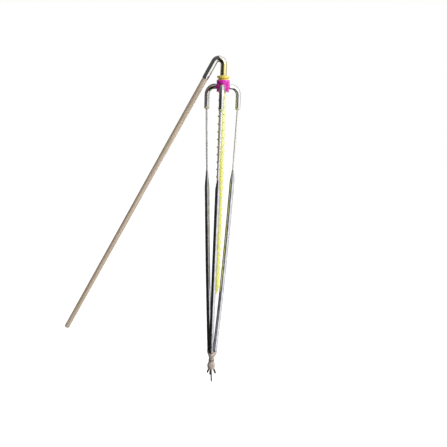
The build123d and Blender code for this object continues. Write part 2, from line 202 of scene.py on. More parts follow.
class SparklerWireSizes(bpy.types.PropertyGroup):
    """Sizes of the sparkler wires and of their coats."""

    wire_diameter: length("Wire diameter", "Width of the bare wire", 2.2)
    wire_in_arm: length("Wire in arm", "Length of the wire inside the arm", 8.0)
    coat_diameter: length("Coat diameter", "Width of the dipped coat", 5.4)
    coat_skin: length("Coat skin", "Thickness of the coat where it runs out", 0.22)
    coat_end: length("Coat end", "Length of the coat's rounded lower end", 2.2)
    coat_lump: length("Coat lumps", "Height of the coat's lumps", 0.10)
    gather_radius: length("Gather radius", "Distance of the coats' lower ends from the bundle's axis", 3.6)
    gather_shift: length("Gather shift", "Distance of the bundle's axis from the rod's", 2.4)
    gather_turn: angle_size(
        "Gather turn", "Angle of the gathered ends round the bundle's axis from the arms", -13.0
    )
    bow_left: length("Left bow", "How far the left sparkler bows outwards", 0.9)
    bow_front: length("Front bow", "How far the front sparkler bows outwards", 1.3)
    bow_right: length("Right bow", "How far the right sparkler bows outwards", 2.1)
    run_in_left: length("Left run-in", "Length over which the left coat thins out", 20.0)
    run_in_front: length("Front run-in", "Length over which the front coat thins out", 11.0)
    run_in_right: length("Right run-in", "Length over which the right coat thins out", 15.0)


class SparklerTipSizes(bpy.types.PropertyGroup):
    """Sizes of the paper wrap, its tie, the match ends and the wick."""

    wrap_cover: length("Wrap cover", "How far the wrap reaches up round the coats", 2.6)
    wrap_over: length("Wrap over coats", "Radius of the wrap where it goes over a coat", 6.55)
    wrap_between: length("Wrap between coats", "Radius of the wrap between two coats", 4.5)
    waist_radius: length("Waist radius", "Radius of the tied waist", 3.0)
    waist_drop: length("Waist drop", "Height of the waist below the coats' ends", 10.2)
    waist_half: length("Waist half", "Half the height of the tied waist", 1.7)
    skirt_radius: length("Skirt radius", "Largest radius of the paper below the waist", 4.6)
    foot_radius: length("Foot radius", "Radius of the paper at its lower edge", 4.2)
    pleat: length("Pleat depth", "Depth of the gathered pleats", 0.42)
    thread: length("Thread", "Width of the tie's thread", 0.5)
    thread_pitch: length("Thread pitch", "Distance between two turns of the tie", 0.95)
    thread_tail: length("Thread tail", "Length of the thread's loose ends", 0.6)
    primer_diameter: length("Match end", "Width of a black match end", 2.2)
    primer_tuck: length("Match tuck", "Length of a match end inside the wrap", 2.0)
    primer_left: length("Left match", "Length of the left match end below the wrap", 10.5)
    primer_front: length("Front match", "Length of the front match end below the wrap", 7.0)
    primer_right: length("Right match", "Length of the right match end below the wrap", 10.0)
    primer_root: length("Match root", "Distance of a match end from the axis at the wrap", 2.7)
    primer_splay: angle_size("Match splay", "Angle of a match end to the axis", 19.0)
    primer_turn: angle_size("Match turn", "Angle of the match ends round the axis from the arms", -10.0)
    wick_diameter: length("Wick", "Width of the wick", 1.9)
    wick_tuck: length("Wick tuck", "Length of the wick inside the wrap", 5.0)
    wick_lean: angle_size("Wick lean", "Angle to which the wick bends by its end", 4.5)


class SparklerFinishes(bpy.types.PropertyGroup):
    """Colours of the surfaces."""

    wood_pale: colour("Pale wood", "Light fibres of the stick", (0.72, 0.61, 0.48))
    wood_dark: colour("Dark wood", "Dark fibres of the stick", (0.36, 0.26, 0.18))
    tube_metal: colour("Tube metal", "Polished metal of the bent tube", (0.90, 0.89, 0.87))
    # Warm yellow tint of the tube's lower end, fading upwards from the collar
    tube_warm: colour("Warm metal", "Lacquered metal above the collar", (0.80, 0.70, 0.28))
    arm_metal: colour("Arm metal", "Polished metal of the arms", (0.90, 0.90, 0.89))
    rod_yellow: colour("Rod yellow", "Plastic of the helical rod", (0.76, 0.76, 0.16))
    collar_yellow: colour("Collar yellow", "Plastic of the push collar", (0.93, 0.73, 0.11))
    hub_magenta: colour("Hub magenta", "Plastic of the hub", (0.82, 0.03, 0.50))
    plug_cream: colour("Plug cream", "Plastic of the arm plugs", (0.72, 0.70, 0.42))
    wire_steel: colour("Wire steel", "Bare sparkler wire", (0.88, 0.87, 0.86))
    coat_grey: colour("Coat grey", "Metal paste of the sparkler coats", (0.68, 0.68, 0.72))
    coat_fleck: colour("Coat fleck", "Metal flecks in the coats", (0.85, 0.85, 0.90))
    primer_black: colour("Match black", "Black dip of the match ends", (0.012, 0.011, 0.011))
    paper_pale: colour("Paper", "Gathered paper", (0.66, 0.59, 0.54))
    # Painted shade in the depth of the paper's folds; a darker tone of it also colours the scuffs
    paper_fold_shade_and_scuff: colour("Paper fold", "Paper in the depth of its folds", (0.30, 0.26, 0.21))
    thread_brown: colour("Thread brown", "Tie round the wrap", (0.20, 0.165, 0.12))
    wick_grey: colour("Wick grey", "Twisted wick", (0.085, 0.085, 0.088))


def handle():
    return bpy.context.scene.sparkler_handle


def rod():
    return bpy.context.scene.sparkler_rod


def hub():
    return bpy.context.scene.sparkler_hub


def arms():
    return bpy.context.scene.sparkler_arms


def wires():
    return bpy.context.scene.sparkler_wires


def tip():
    return bpy.context.scene.sparkler_tip


def finishes():
    return bpy.context.scene.sparkler_finishes


# Node building


def put(tree, kind, inputs=None, **settings):
    """Add a node with its settings, and fill its inputs with values or with other nodes' outputs."""
    made = tree.nodes.new(kind)
    for name, value in settings.items():
        setattr(made, name, value)
    for socket, value in (inputs or {}).items():
        if isinstance(value, bpy.types.NodeSocket):
            tree.links.new(value, made.inputs[socket])
        else:
            made.inputs[socket].default_value = value
    return made


def rgba(tint, strength=1.0):
    """A colour with its alpha, lightened or darkened by a factor."""
    return tuple(min(1.0, part * strength) for part in tint[:3]) + (1.0,)


def fitted(tree, value, low, high, to_low=0.0, to_high=1.0):
    """Fit a value from one range into another, held at its ends."""
    inputs = {"Value": value, "From Min": low, "From Max": high, "To Min": to_low, "To Max": to_high}
    return put(tree, "ShaderNodeMapRange", inputs).outputs[0]


def mixed(tree, factor, first, second):
    """Mix two colours by a factor and return the colour that comes out."""
    return put(tree, "ShaderNodeMix", {0: factor, 6: first, 7: second}, data_type="RGBA").outputs[2]


def clouded(tree, pattern, first, second):
    """Mix two colours by a noise pattern, most of which lies near a half."""
    return mixed(tree, fitted(tree, pattern, 0.35, 0.65), first, second)


def roughness(tree, pattern, low, high):
    """A roughness that follows a noise pattern, most of which lies near a half."""
    return fitted(tree, pattern, 0.3, 0.7, low, high)


def summed(tree, first, second, operation="ADD"):
    """A sum of two values, or another operation on them."""
    return put(tree, "ShaderNodeMath", {0: first, 1: second}, operation=operation).outputs[0]


def product(tree, first, second):
    """The product of two values."""
    return summed(tree, first, second, "MULTIPLY")


def vector_math(tree, operation, output, *vectors):
    """An operation on vectors, and the one of its outputs that is asked for."""
    return put(tree, "ShaderNodeVectorMath", dict(enumerate(vectors)), operation=operation).outputs[output]


def noise_of(tree, place, scale, detail, distortion=0.0):
    """A noise pattern at a place."""
    inputs = {"Vector": place, "Scale": scale, "Detail": detail, "Distortion": distortion}
    return put(tree, "ShaderNodeTexNoise", inputs).outputs[0]


def height_of(tree, place):
    """The height of a place."""
    return put(tree, "ShaderNodeSeparateXYZ", {0: place}).outputs["Z"]


def effect(name, numbers, outputs):
    """Start a shader node group that takes a place and some numbers and gives named values."""
    group = bpy.data.node_groups.new(name, "ShaderNodeTree")
    group.interface.new_socket(name="Vector", in_out="INPUT", socket_type="NodeSocketVector")
    for label, default in numbers.items():
        socket = group.interface.new_socket(name=label, in_out="INPUT", socket_type="NodeSocketFloat")
        socket.default_value = default
    for label in outputs:
        group.interface.new_socket(name=label, in_out="OUTPUT", socket_type="NodeSocketFloat")
    return group, put(group, "NodeGroupInput").outputs, put(group, "NodeGroupOutput").inputs


def drawn_grain_group():
    """Long fibres or draw marks: noise that is stretched along Z."""
    group, given, result = effect("drawn_grain", {"Across": 2000.0, "Stretch": 40.0}, ["Fine", "Broad"])
    across = given["Across"]
    along = summed(group, across, given["Stretch"], "DIVIDE")
    scale = put(group, "ShaderNodeCombineXYZ", {"X": across, "Y": across, "Z": along}).outputs[0]
    scaled = vector_math(group, "MULTIPLY", "Vector", given["Vector"], scale)
    group.links.new(noise_of(group, scaled, 1.0, 4.0), result["Fine"])
    group.links.new(noise_of(group, scaled, 0.21, 2.0), result["Broad"])
    return group


def granules_group():
    """Grains of a dried paste: rounded cells over a rougher ground, and a few bright flecks."""
    group, given, result = effect("granules", {"Scale": 1500.0}, ["Height", "Fleck", "Mottle"])
    place, scale = given["Vector"], given["Scale"]
    cells = put(group, "ShaderNodeTexVoronoi", {"Vector": place, "Scale": scale}).outputs
    bumps = fitted(group, cells["Distance"], 0.0, 0.7, 1.0, 0.0)
    group.links.new(product(group, bumps, noise_of(group, place, scale, 5.0)), result["Height"])
    chance = put(group, "ShaderNodeSeparateColor", {0: cells["Color"]}).outputs[0]
    picked = summed(group, chance, 0.86, "GREATER_THAN")
    spot = fitted(group, cells["Distance"], 0.18, 0.34, 1.0, 0.0)
    group.links.new(product(group, picked, spot), result["Fleck"])
    group.links.new(noise_of(group, place, product(group, scale, 0.08), 3.0), result["Mottle"])
    return group


def moulded_group():
    """Moulded plastic: a cloudy tone, a fine spark-eroded grain and a few light scuffs."""
    group, given, result = effect("moulded", {"Scale": 260.0}, ["Cloud", "Grain", "Scuff"])
    place, scale = given["Vector"], given["Scale"]
    scuff = noise_of(group, place, product(group, scale, 2.6), 6.0, 1.8)
    group.links.new(noise_of(group, place, scale, 3.0), result["Cloud"])
    group.links.new(noise_of(group, place, product(group, scale, 22.0), 2.0), result["Grain"])
    group.links.new(fitted(group, scuff, 0.60, 0.68), result["Scuff"])
    return group


def shared_effect(name):
    """One of the shared node groups, built the first time that it is asked for."""
    makers = {"drawn_grain": drawn_grain_group, "granules": granules_group, "moulded": moulded_group}
    return bpy.data.node_groups.get(name) or makers[name]()


def use_effect(tree, name, **inputs):
    """Place a shared effect in a material with its own values, and return its outputs."""
    return put(tree, "ShaderNodeGroup", inputs, node_tree=shared_effect(name)).outputs


def start_material(name):
    """A new material, its node tree and its shader's inputs."""
    material = bpy.data.materials.new(name)
    material.use_nodes = True
    tree = material.node_tree
    return material, tree, tree.nodes["Principled BSDF"].inputs


def lay_of(tree):
    """The straightened place of a point on a drawn, wound or turned piece."""
    return put(tree, "ShaderNodeAttribute", attribute_name="lay").outputs["Vector"]


def fold_of(tree):
    """How far a fold or a strand stands out at a point."""
    return put(tree, "ShaderNodeAttribute", attribute_name="fold").outputs["Fac"]


def place_of(tree):
    """The place of a point in its object's frame."""
    return put(tree, "ShaderNodeTexCoord").outputs["Object"]


def set_surface(tree, shader, tone, rough, height, depth, strength):
    """Give a shader its colour, its roughness and a bumped normal."""
    tree.links.new(tone, shader["Base Color"])
    tree.links.new(rough, shader["Roughness"])
    bump = put(tree, "ShaderNodeBump", {"Height": height, "Distance": depth, "Strength": strength})
    tree.links.new(bump.outputs[0], shader["Normal"])


# Materials
# Painted shade: the deeper yellow laid in the rod's groove
GROOVE_SHADE_YELLOW = (0.78, 0.73, 0.18)
# Painted highlight: the paler yellow laid on the ridge's crest
CREST_HIGHLIGHT_YELLOW = (0.94, 0.93, 0.55)
# Painted light: the pale yellow of a painted wash of light on the rod's upper part
UPPER_GLARE_YELLOW = (0.94, 0.93, 0.66)
SCUFF_GREY = (0.90, 0.88, 0.88)
DULL_STEEL = (0.30, 0.27, 0.24)
MATCH_FLECK = (0.12, 0.12, 0.12)
PAPER_STAIN = (0.70, 0.55, 0.46)

# Heights on the rod between which a painted wash of light turns its yellow paler
GLARE_FROM = -110 * MM
GLARE_TO = -20 * MM


def wood_material():
    """Pale dowel wood: long fibres, dark pores and a cut end."""
    material, tree, shader = start_material("pale_wood")
    lay = lay_of(tree)
    fibres = use_effect(tree, "drawn_grain", Vector=lay, Across=1700.0, Stretch=45.0)
    pores = use_effect(tree, "drawn_grain", Vector=lay, Across=5200.0, Stretch=70.0)
    pale, dark = finishes().wood_pale, finishes().wood_dark
    tone = mixed(tree, fitted(tree, fibres["Fine"], 0.34, 0.66), rgba(dark, 1.45), rgba(pale))
    tone = mixed(tree, fitted(tree, fibres["Broad"], 0.42, 0.62, 0.0, 0.45), tone, rgba(pale, 1.12))
    tone = mixed(tree, fitted(tree, pores["Fine"], 0.60, 0.70, 0.0, 0.75), tone, rgba(dark))
    cut = fitted(tree, height_of(tree, lay), 0.15 * MM, 0.45 * MM, 0.65, 0.0)
    tone = mixed(tree, cut, tone, rgba(dark, 0.8))
    rough = roughness(tree, fibres["Fine"], 0.72, 0.5)
    shader["Specular IOR Level"].default_value = 0.35
    set_surface(tree, shader, tone, rough, fibres["Fine"], 0.06 * MM, 0.6)
    return material


def polished_material(name, metal, warm=None, warm_end=0.0):
    """Bright drawn tube: fine draw marks along it, and a warm yellow tint near its lower end, fading upwards, if
    there is one.
    """
    material, tree, shader = start_material(name)
    lay = lay_of(tree)
    marks = use_effect(tree, "drawn_grain", Vector=lay, Across=7000.0, Stretch=60.0)
    smears = use_effect(tree, "moulded", Vector=lay, Scale=210.0)
    tone = clouded(tree, marks["Broad"], rgba(metal, 0.86), rgba(metal))
    if warm is not None:
        # A warm yellow tint, strongest at the lower end and fading upwards
        tint_share = fitted(tree, height_of(tree, lay), 0.6 * warm_end, warm_end, 0.95, 0.0)
        tone = mixed(tree, tint_share, tone, rgba(warm))
    streaked = roughness(tree, marks["Fine"], 0.10, 0.20)
    rough = summed(tree, streaked, product(tree, smears["Scuff"], 0.10))
    shader["Metallic"].default_value = 1.0
    set_surface(tree, shader, tone, rough, marks["Fine"], 0.012 * MM, 0.35)
    return material


def rod_material():
    """Slightly milky yellow plastic, with painted shade in the groove, a painted highlight on the ridge and a
    painted wash of light that pales its upper part.
    """
    material, tree, shader = start_material("rod_plastic")
    lay = lay_of(tree)
    flow = use_effect(tree, "moulded", Vector=lay, Scale=240.0)
    yellow = finishes().rod_yellow
    tone = clouded(tree, flow["Cloud"], rgba(yellow, 0.92), rgba(yellow, 1.04))
    across = vector_math(tree, "MULTIPLY", "Vector", lay, (1.0, 1.0, 0.0))
    out = vector_math(tree, "LENGTH", "Value", across)
    crest = fitted(tree, out, rod().core_radius, rod().core_radius + rod().ridge_height)
    # Painted shade: the yellow deepens in the groove between the ridges
    tone = mixed(tree, fitted(tree, crest, 0.0, 1.0, 0.28, 0.0), tone, rgba(GROOVE_SHADE_YELLOW))
    # Painted highlight: the yellow pales towards the ridge's crest
    tone = mixed(tree, fitted(tree, crest, 0.7, 1.0, 0.0, 0.45), tone, rgba(CREST_HIGHLIGHT_YELLOW))
    # Painted light: a wash of light painted paler towards the rod's upper part
    upper = fitted(tree, height_of(tree, lay), GLARE_FROM, GLARE_TO, 0.0, 0.65)
    tone = mixed(tree, upper, tone, rgba(UPPER_GLARE_YELLOW))
    shader["Subsurface Weight"].default_value = 0.6
    shader["Subsurface Radius"].default_value = (1.0, 0.9, 0.35)
    shader["Subsurface Scale"].default_value = 3.5 * MM
    rough = roughness(tree, flow["Grain"], 0.26, 0.42)
    set_surface(tree, shader, tone, rough, flow["Grain"], 0.02 * MM, 0.25)
    return material


def moulded_material(name, tint, rough_low, rough_high, depth=0.5 * MM, milky=0.05):
    """Glossy moulded plastic with a cloudy tone and light scuffs."""
    material, tree, shader = start_material(name)
    skin = use_effect(tree, "moulded", Vector=place_of(tree), Scale=260.0)
    tone = clouded(tree, skin["Cloud"], rgba(tint, 0.86), rgba(tint, 1.05))
    tone = mixed(tree, product(tree, skin["Scuff"], 0.10), tone, rgba(SCUFF_GREY))
    rough = roughness(tree, skin["Grain"], rough_low, rough_high)
    rough = summed(tree, rough, product(tree, skin["Scuff"], 0.15))
    shader["Subsurface Weight"].default_value = milky
    shader["Subsurface Scale"].default_value = depth
    set_surface(tree, shader, tone, rough, skin["Grain"], 0.02 * MM, 0.25)
    return material


def wire_material():
    """Bare drawn steel wire with dull patches."""
    material, tree, shader = start_material("drawn_wire")
    lay = lay_of(tree)
    marks = use_effect(tree, "drawn_grain", Vector=lay, Across=9000.0, Stretch=80.0)
    patches = use_effect(tree, "moulded", Vector=lay, Scale=320.0)
    steel = finishes().wire_steel
    tone = clouded(tree, marks["Broad"], rgba(steel, 0.80), rgba(steel, 1.08))
    tone = mixed(tree, product(tree, patches["Scuff"], 0.4), tone, rgba(DULL_STEEL))
    rough = roughness(tree, marks["Fine"], 0.42, 0.54)
    shader["Metallic"].default_value = 0.35
    set_surface(tree, shader, tone, rough, marks["Fine"], 0.008 * MM, 0.2)
    return material


def coat_material():
    """Dried paste full of metal grains, with a metal's sheen."""
    material, tree, shader = start_material("sparkler_paste")
    paste = use_effect(tree, "granules", Vector=lay_of(tree), Scale=1900.0)
    grey, fleck = finishes().coat_grey, finishes().coat_fleck
    tone = clouded(tree, paste["Mottle"], rgba(grey, 0.85), rgba(grey, 1.12))
    tone = mixed(tree, product(tree, paste["Fleck"], 0.30), tone, rgba(fleck))
    rough = roughness(tree, paste["Mottle"], 0.15, 0.22)
    shader["Metallic"].default_value = 0.96
    set_surface(tree, shader, tone, rough, paste["Height"], 0.02 * MM, 0.10)
    return material


def primer_material():
    """Black match dip: coarse, nearly matt grains."""
    material, tree, shader = start_material("match_dip")
    dip = use_effect(tree, "granules", Vector=place_of(tree), Scale=2600.0)
    black = finishes().primer_black
    tone = clouded(tree, dip["Mottle"], rgba(black, 0.6), rgba(black, 1.8))
    tone = mixed(tree, product(tree, dip["Fleck"], 0.25), tone, rgba(MATCH_FLECK))
    rough = roughness(tree, dip["Mottle"], 0.55, 0.8)
    set_surface(tree, shader, tone, rough, dip["Height"], 0.10 * MM, 0.7)
    return material


def paper_material():
    """Thin gathered paper, with painted shade in the depth of its folds, and a fibrous tooth."""
    material, tree, shader = start_material("gathered_paper")
    sheet = use_effect(tree, "moulded", Vector=place_of(tree), Scale=330.0)
    pale, fold_shade_and_scuff = finishes().paper_pale, finishes().paper_fold_shade_and_scuff
    # Painted shade: the paper darkens in the depth of its folds
    tone = mixed(tree, fitted(tree, fold_of(tree), -0.6, 0.35), rgba(fold_shade_and_scuff), rgba(pale))
    tone = mixed(tree, fitted(tree, sheet["Cloud"], 0.40, 0.65, 0.0, 0.45), tone, rgba(PAPER_STAIN))
    # Scuffs in a darker tone of the fold shade's colour
    tone = mixed(tree, product(tree, sheet["Scuff"], 0.25), tone, rgba(fold_shade_and_scuff, 0.7))
    rough = roughness(tree, sheet["Grain"], 0.78, 0.95)
    shader["Specular IOR Level"].default_value = 0.2
    set_surface(tree, shader, tone, rough, sheet["Grain"], 0.05 * MM, 0.6)
    return material


def twisted_material(name, tint):
    """Spun fibres: painted shade between the strands, with fine hairs along them."""
    material, tree, shader = start_material(name)
    hairs = use_effect(tree, "drawn_grain", Vector=lay_of(tree), Across=9000.0, Stretch=9.0)
    tone = mixed(tree, fitted(tree, hairs["Fine"], 0.32, 0.68), rgba(tint, 0.62), rgba(tint, 1.5))
    # Painted shade: the fibres darken between the strands, where the fold value is low
    tone = mixed(tree, fitted(tree, fold_of(tree), -0.8, 0.4, 0.8, 0.0), tone, rgba(tint, 0.25))
    rough = roughness(tree, hairs["Fine"], 0.75, 0.92)
    shader["Sheen Weight"].default_value = 0.25
    set_surface(tree, shader, tone, rough, hairs["Fine"], 0.05 * MM, 0.7)
    return material


# Mesh building


def lift(height):
    """A move along Z."""
    return Matrix.Translation((0.0, 0.0, height))


def round_axis(radius, angle, height):
    """A point given by its radius, its angle round Z and its height."""
    return Vector((radius * math.cos(angle), radius * math.sin(angle), height))


def way_out(point):
    """The direction from the Z axis to a point."""
    return Vector((point.x, point.y, 0.0)).normalized()


def verts_of(parts):
    return [part for part in parts if isinstance(part, bmesh.types.BMVert)]


def edges_of(parts):
    return [part for part in parts if isinstance(part, bmesh.types.BMEdge)]


def edges_at(verts):
    """The edges that meet at some points, each once."""
    return list(dict.fromkeys(edge for vert in verts for edge in vert.link_edges))


def ring_verts(ring):
    """The points of a ring of edges, each once."""
    return list(dict.fromkeys(vert for edge in ring for vert in edge.verts))


def ring_centre(ring):
    """The middle of a ring of edges."""
    verts = ring_verts(ring)
    return sum((vert.co for vert in verts), Vector()) / len(verts)


def lay_layer(bm):
    """The layer that keeps each point's place along and round the straightened piece."""
    layers = bm.verts.layers.float_vector
    return layers.get("lay") or layers.new("lay")


def keep_lay(bm):
    """Store each point's place along and round the piece before the piece is bent or turned into place."""
    lay = lay_layer(bm)
    for vert in bm.verts:
        vert[lay] = vert.co


def start_ring(bm, radius, segments, place=Matrix.Identity(4)):
    """A ring of edges round Z, ready to be pulled into a bar."""
    made = bmesh.ops.create_circle(bm, cap_ends=False, radius=radius, segments=segments, matrix=place)
    return edges_at(made["verts"])


def pull_ring(bm, ring, move):
    """Extrude a ring of edges, move the new ring by a matrix and return its edges."""
    made = bmesh.ops.extrude_edge_only(bm, edges=ring)["geom"]
    bmesh.ops.transform(bm, matrix=move, verts=verts_of(made))
    return [edge for edge in edges_of(made) if edge.is_boundary]


def pull_rings(bm, ring, move, count):
    """Pull a ring on by the same matrix some times."""
    for _ in range(count):
        ring = pull_ring(bm, ring, move)
    return ring


def close_ends(bm):
    """Fill the open ends of a bar."""
    bmesh.ops.holes_fill(bm, edges=[edge for edge in bm.edges if edge.is_boundary], sides=0)


def straight_bar(radius, total, rings, segments):
    """A straight open bar of many rings along Z, from height 0."""
    bm = bmesh.new()
    pull_rings(bm, start_ring(bm, radius, segments), lift(total / rings), rings)
    return bm


def set_radii(bm, radius_at):
    """Give every point of a bar along Z the radius that a function of its place says."""
    for vert in bm.verts:
        vert.co = way_out(vert.co) * radius_at(vert.co) + Vector((0.0, 0.0, vert.co.z))


def lathe(outline, closed=True, steps=64):
    """Spin an outline of (radius, height) corners a full turn about Z."""
    bm = bmesh.new()
    verts = [bm.verts.new((radius, 0.0, height)) for radius, height in outline]
    pairs = list(zip(verts, verts[1:]))
    if closed:
        pairs.append((verts[-1], verts[0]))
    edges = [bm.edges.new(pair) for pair in pairs]
    bmesh.ops.spin(
        bm, geom=verts + edges, cent=(0, 0, 0), axis=(0, 0, 1), angle=FULL_TURN, steps=steps, use_merge=True
    )
    bmesh.ops.remove_doubles(bm, verts=bm.verts, dist=MERGE_DISTANCE)
    bmesh.ops.recalc_face_normals(bm, faces=bm.faces)
    return bm


def round_edges(bm, offset, sharper_than=35.0, edges=None, segments=3):
    """Round the edges that are sharper than an angle in degrees."""
    limit = math.radians(sharper_than)
    picked = [
        edge
        for edge in (edges or bm.edges)
        if len(edge.link_faces) == 2 and edge.calc_face_angle(0.0) > limit
    ]
    bmesh.ops.bevel(
        bm,
        geom=picked,
        offset=offset,
        offset_type="OFFSET",
        segments=segments,
        profile=0.5,
        affect="EDGES",
        clamp_overlap=True,
        material=-1,
    )


def place_object(name, data):
    """Add an object with its data to the scene."""
    made = bpy.data.objects.new(name, data)
    bpy.context.scene.collection.objects.link(made)
    return made


def mesh_object(name, bm, material):
    """Turn a bmesh into an object of the scene."""
    mesh = bpy.data.meshes.new(name)
    bm.to_mesh(mesh)
    bm.free()
    mesh.materials.append(material)
    return place_object(name, mesh)


def add_piece(name, bm, place, material, body, node, smooth=40.0):
    """Make a finished bmesh a piece that rides on a body and stands for its node."""
    bmesh.ops.remove_doubles(bm, verts=bm.verts, dist=MERGE_DISTANCE)
    bmesh.ops.recalc_face_normals(bm, faces=bm.faces)
    bmesh.ops.transform(bm, matrix=place, verts=bm.verts)
    piece = mesh_object(name, bm, material)
    piece.data.shade_smooth()
    piece.data.set_sharp_from_angle(angle=math.radians(smooth))
    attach(piece, body)
    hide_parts(node)


def wobble(point, size):
    """Smooth noise between -1 and 1 whose lumps have about the given size."""
    return noise.noise(point / size)


def eased(value):
    """A share eased in and out, held between 0 and 1."""
    value = min(1.0, max(0.0, value))
    return value * value * (3 - 2 * value)


def add_stick():
    """The dowel: a little uneven, with broken edges and a thinner tenon at its top."""
    size = handle()
    # The unevenness is drawn out along the dowel
    drawn_out = 0.04
    unevenness_width = 3.5 * MM

    def radius_at(point):
        if point.z > size.stick_exposed:
            return size.tenon_diameter / 2
        low = Vector((point.x, point.y, point.z * drawn_out))
        return size.stick_diameter / 2 + size.stick_unevenness * wobble(low, unevenness_width)

    total = size.stick_exposed + size.tenon_depth
    bm = straight_bar(size.stick_diameter / 2, total, rings=116, segments=28)
    set_radii(bm, radius_at)
    close_ends(bm)
    bmesh.ops.recalc_face_normals(bm, faces=bm.faces)
    round_edges(bm, size.stick_chamfer, sharper_than=60.0, segments=2)
    keep_lay(bm)
    butt = Matrix.Translation(STICK_WAY * -size.grip_from_butt)
    place = butt @ STICK_WAY.to_track_quat("Z", "Y").to_matrix().to_4x4()
    add_piece("wooden_stick", bm, place, wood_material(), "handle", "handle_stick")


def bent_pipe(diameter, wall, first_leg, radius, turn, last_leg, flattening, wrinkle):
    """A pipe along Z that bends towards -X and runs on straight, with rounded mouths."""
    first_rings = 6
    bend_rings = 48
    last_rings = 8
    fold_rate = 14
    bulge = 0.4 * flattening
    bm = bmesh.new()
    first_ring = start_ring(bm, diameter / 2, segments=40)
    ring = pull_rings(bm, first_ring, lift(first_leg / first_rings), first_rings)
    centre = Vector((-radius, 0.0, first_leg))
    spun = bmesh.ops.spin(bm, geom=ring, cent=centre, axis=(0, -1, 0), angle=turn, steps=bend_rings)
    way = Vector((-math.sin(turn), 0.0, math.cos(turn)))
    last_step = Matrix.Translation(way * last_leg / last_rings)
    ring = pull_rings(bm, edges_of(spun["geom_last"]), last_step, last_rings)
    outward = Vector((math.cos(turn), 0.0, math.sin(turn)))
    bend_end = centre + outward * radius
    lay = lay_layer(bm)
    for vert in bm.verts:
        from_centre = vert.co - centre
        from_end = vert.co - bend_end
        angle = math.atan2(from_centre.z, from_centre.x)
        past = from_end.dot(way)
        if vert.co.z <= first_leg and vert.co.x > -radius:
            vert[lay] = vert.co
        elif past >= 0.0 and from_centre.x < radius * math.cos(turn / 2):
            vert[lay] = (from_end.dot(outward), vert.co.y, first_leg + radius * turn + past)
        else:
            out = math.hypot(from_centre.x, from_centre.z) - radius
            vert[lay] = (out, vert.co.y, first_leg + radius * angle)
            bend = math.sin(math.pi * min(1.0, max(0.0, angle / turn)))
            folds = math.sin(angle * fold_rate) * bend * max(0.0, -out) / (diameter / 2)
            new_out = out * (1 - flattening * bend) + wrinkle * folds
            round_centre = Vector((math.cos(angle), 0.0, math.sin(angle)))
            across = vert.co.y * (1 + bulge * bend)
            vert.co = centre + round_centre * (radius + new_out) + Vector((0.0, across, 0.0))
    bore = (diameter - 2 * wall) / diameter
    squeeze = Matrix.Diagonal((bore, bore, 1.0, 1.0))
    depth = min(first_leg, last_leg) * 0.6
    at_mouth = Matrix.Translation(bend_end + way * last_leg) @ Matrix.Rotation(-turn, 4, "Y")
    last_lip = pull_ring(bm, ring, at_mouth @ squeeze @ at_mouth.inverted())
    pull_ring(bm, last_lip, Matrix.Translation(way * -depth))
    first_lip = pull_ring(bm, first_ring, squeeze)
    pull_ring(bm, first_lip, lift(depth))
    bmesh.ops.recalc_face_normals(bm, faces=bm.faces)
    round_edges(bm, wall * 0.25, sharper_than=60.0, segments=2)
    return bm


def add_bent_tube():
    """The bright tube that turns from the rod's line to the stick's, a little flattened in its bend."""
    size = handle()
    section = (size.tube_diameter, size.tube_wall)
    run = (size.rod_leg, size.bend_radius, math.pi - STICK_ANGLE, size.stick_leg)
    bm = bent_pipe(*section, *run, size.flattening, size.wrinkle)
    place = ROD_PLACE @ lift(high_height("screw_rod") - rod().spigot_length)
    metal = polished_material("tube_metal", finishes().tube_metal, finishes().tube_warm, 1.6 * size.rod_leg)
    add_piece("bent_metal_tube", bm, place, metal, "hanger", "bent_tube")


def everything(bm):
    """All points, edges and faces of a bmesh."""
    return bm.verts[:] + bm.edges[:] + bm.faces[:]


def rod_head(size, tube_end):
    """The rod's head under the tube and its spigot inside the tube, as a mesh."""
    head_bottom = tube_end - size.head_thickness
    spigot_top = tube_end + size.spigot_length
    outline = [
        (0.0, head_bottom),
        (size.head_diameter / 2, head_bottom),
        (size.head_diameter / 2, tube_end),
        (size.spigot_diameter / 2, tube_end),
        (size.spigot_diameter / 2, spigot_top),
        (0.0, spigot_top),
    ]
    bm = lathe(outline, closed=False)
    round_edges(bm, size.head_thickness * 0.3)
    keep_lay(bm)
    mesh = bpy.data.meshes.new("rod_head")
    bm.to_mesh(mesh)
    bm.free()
    return mesh


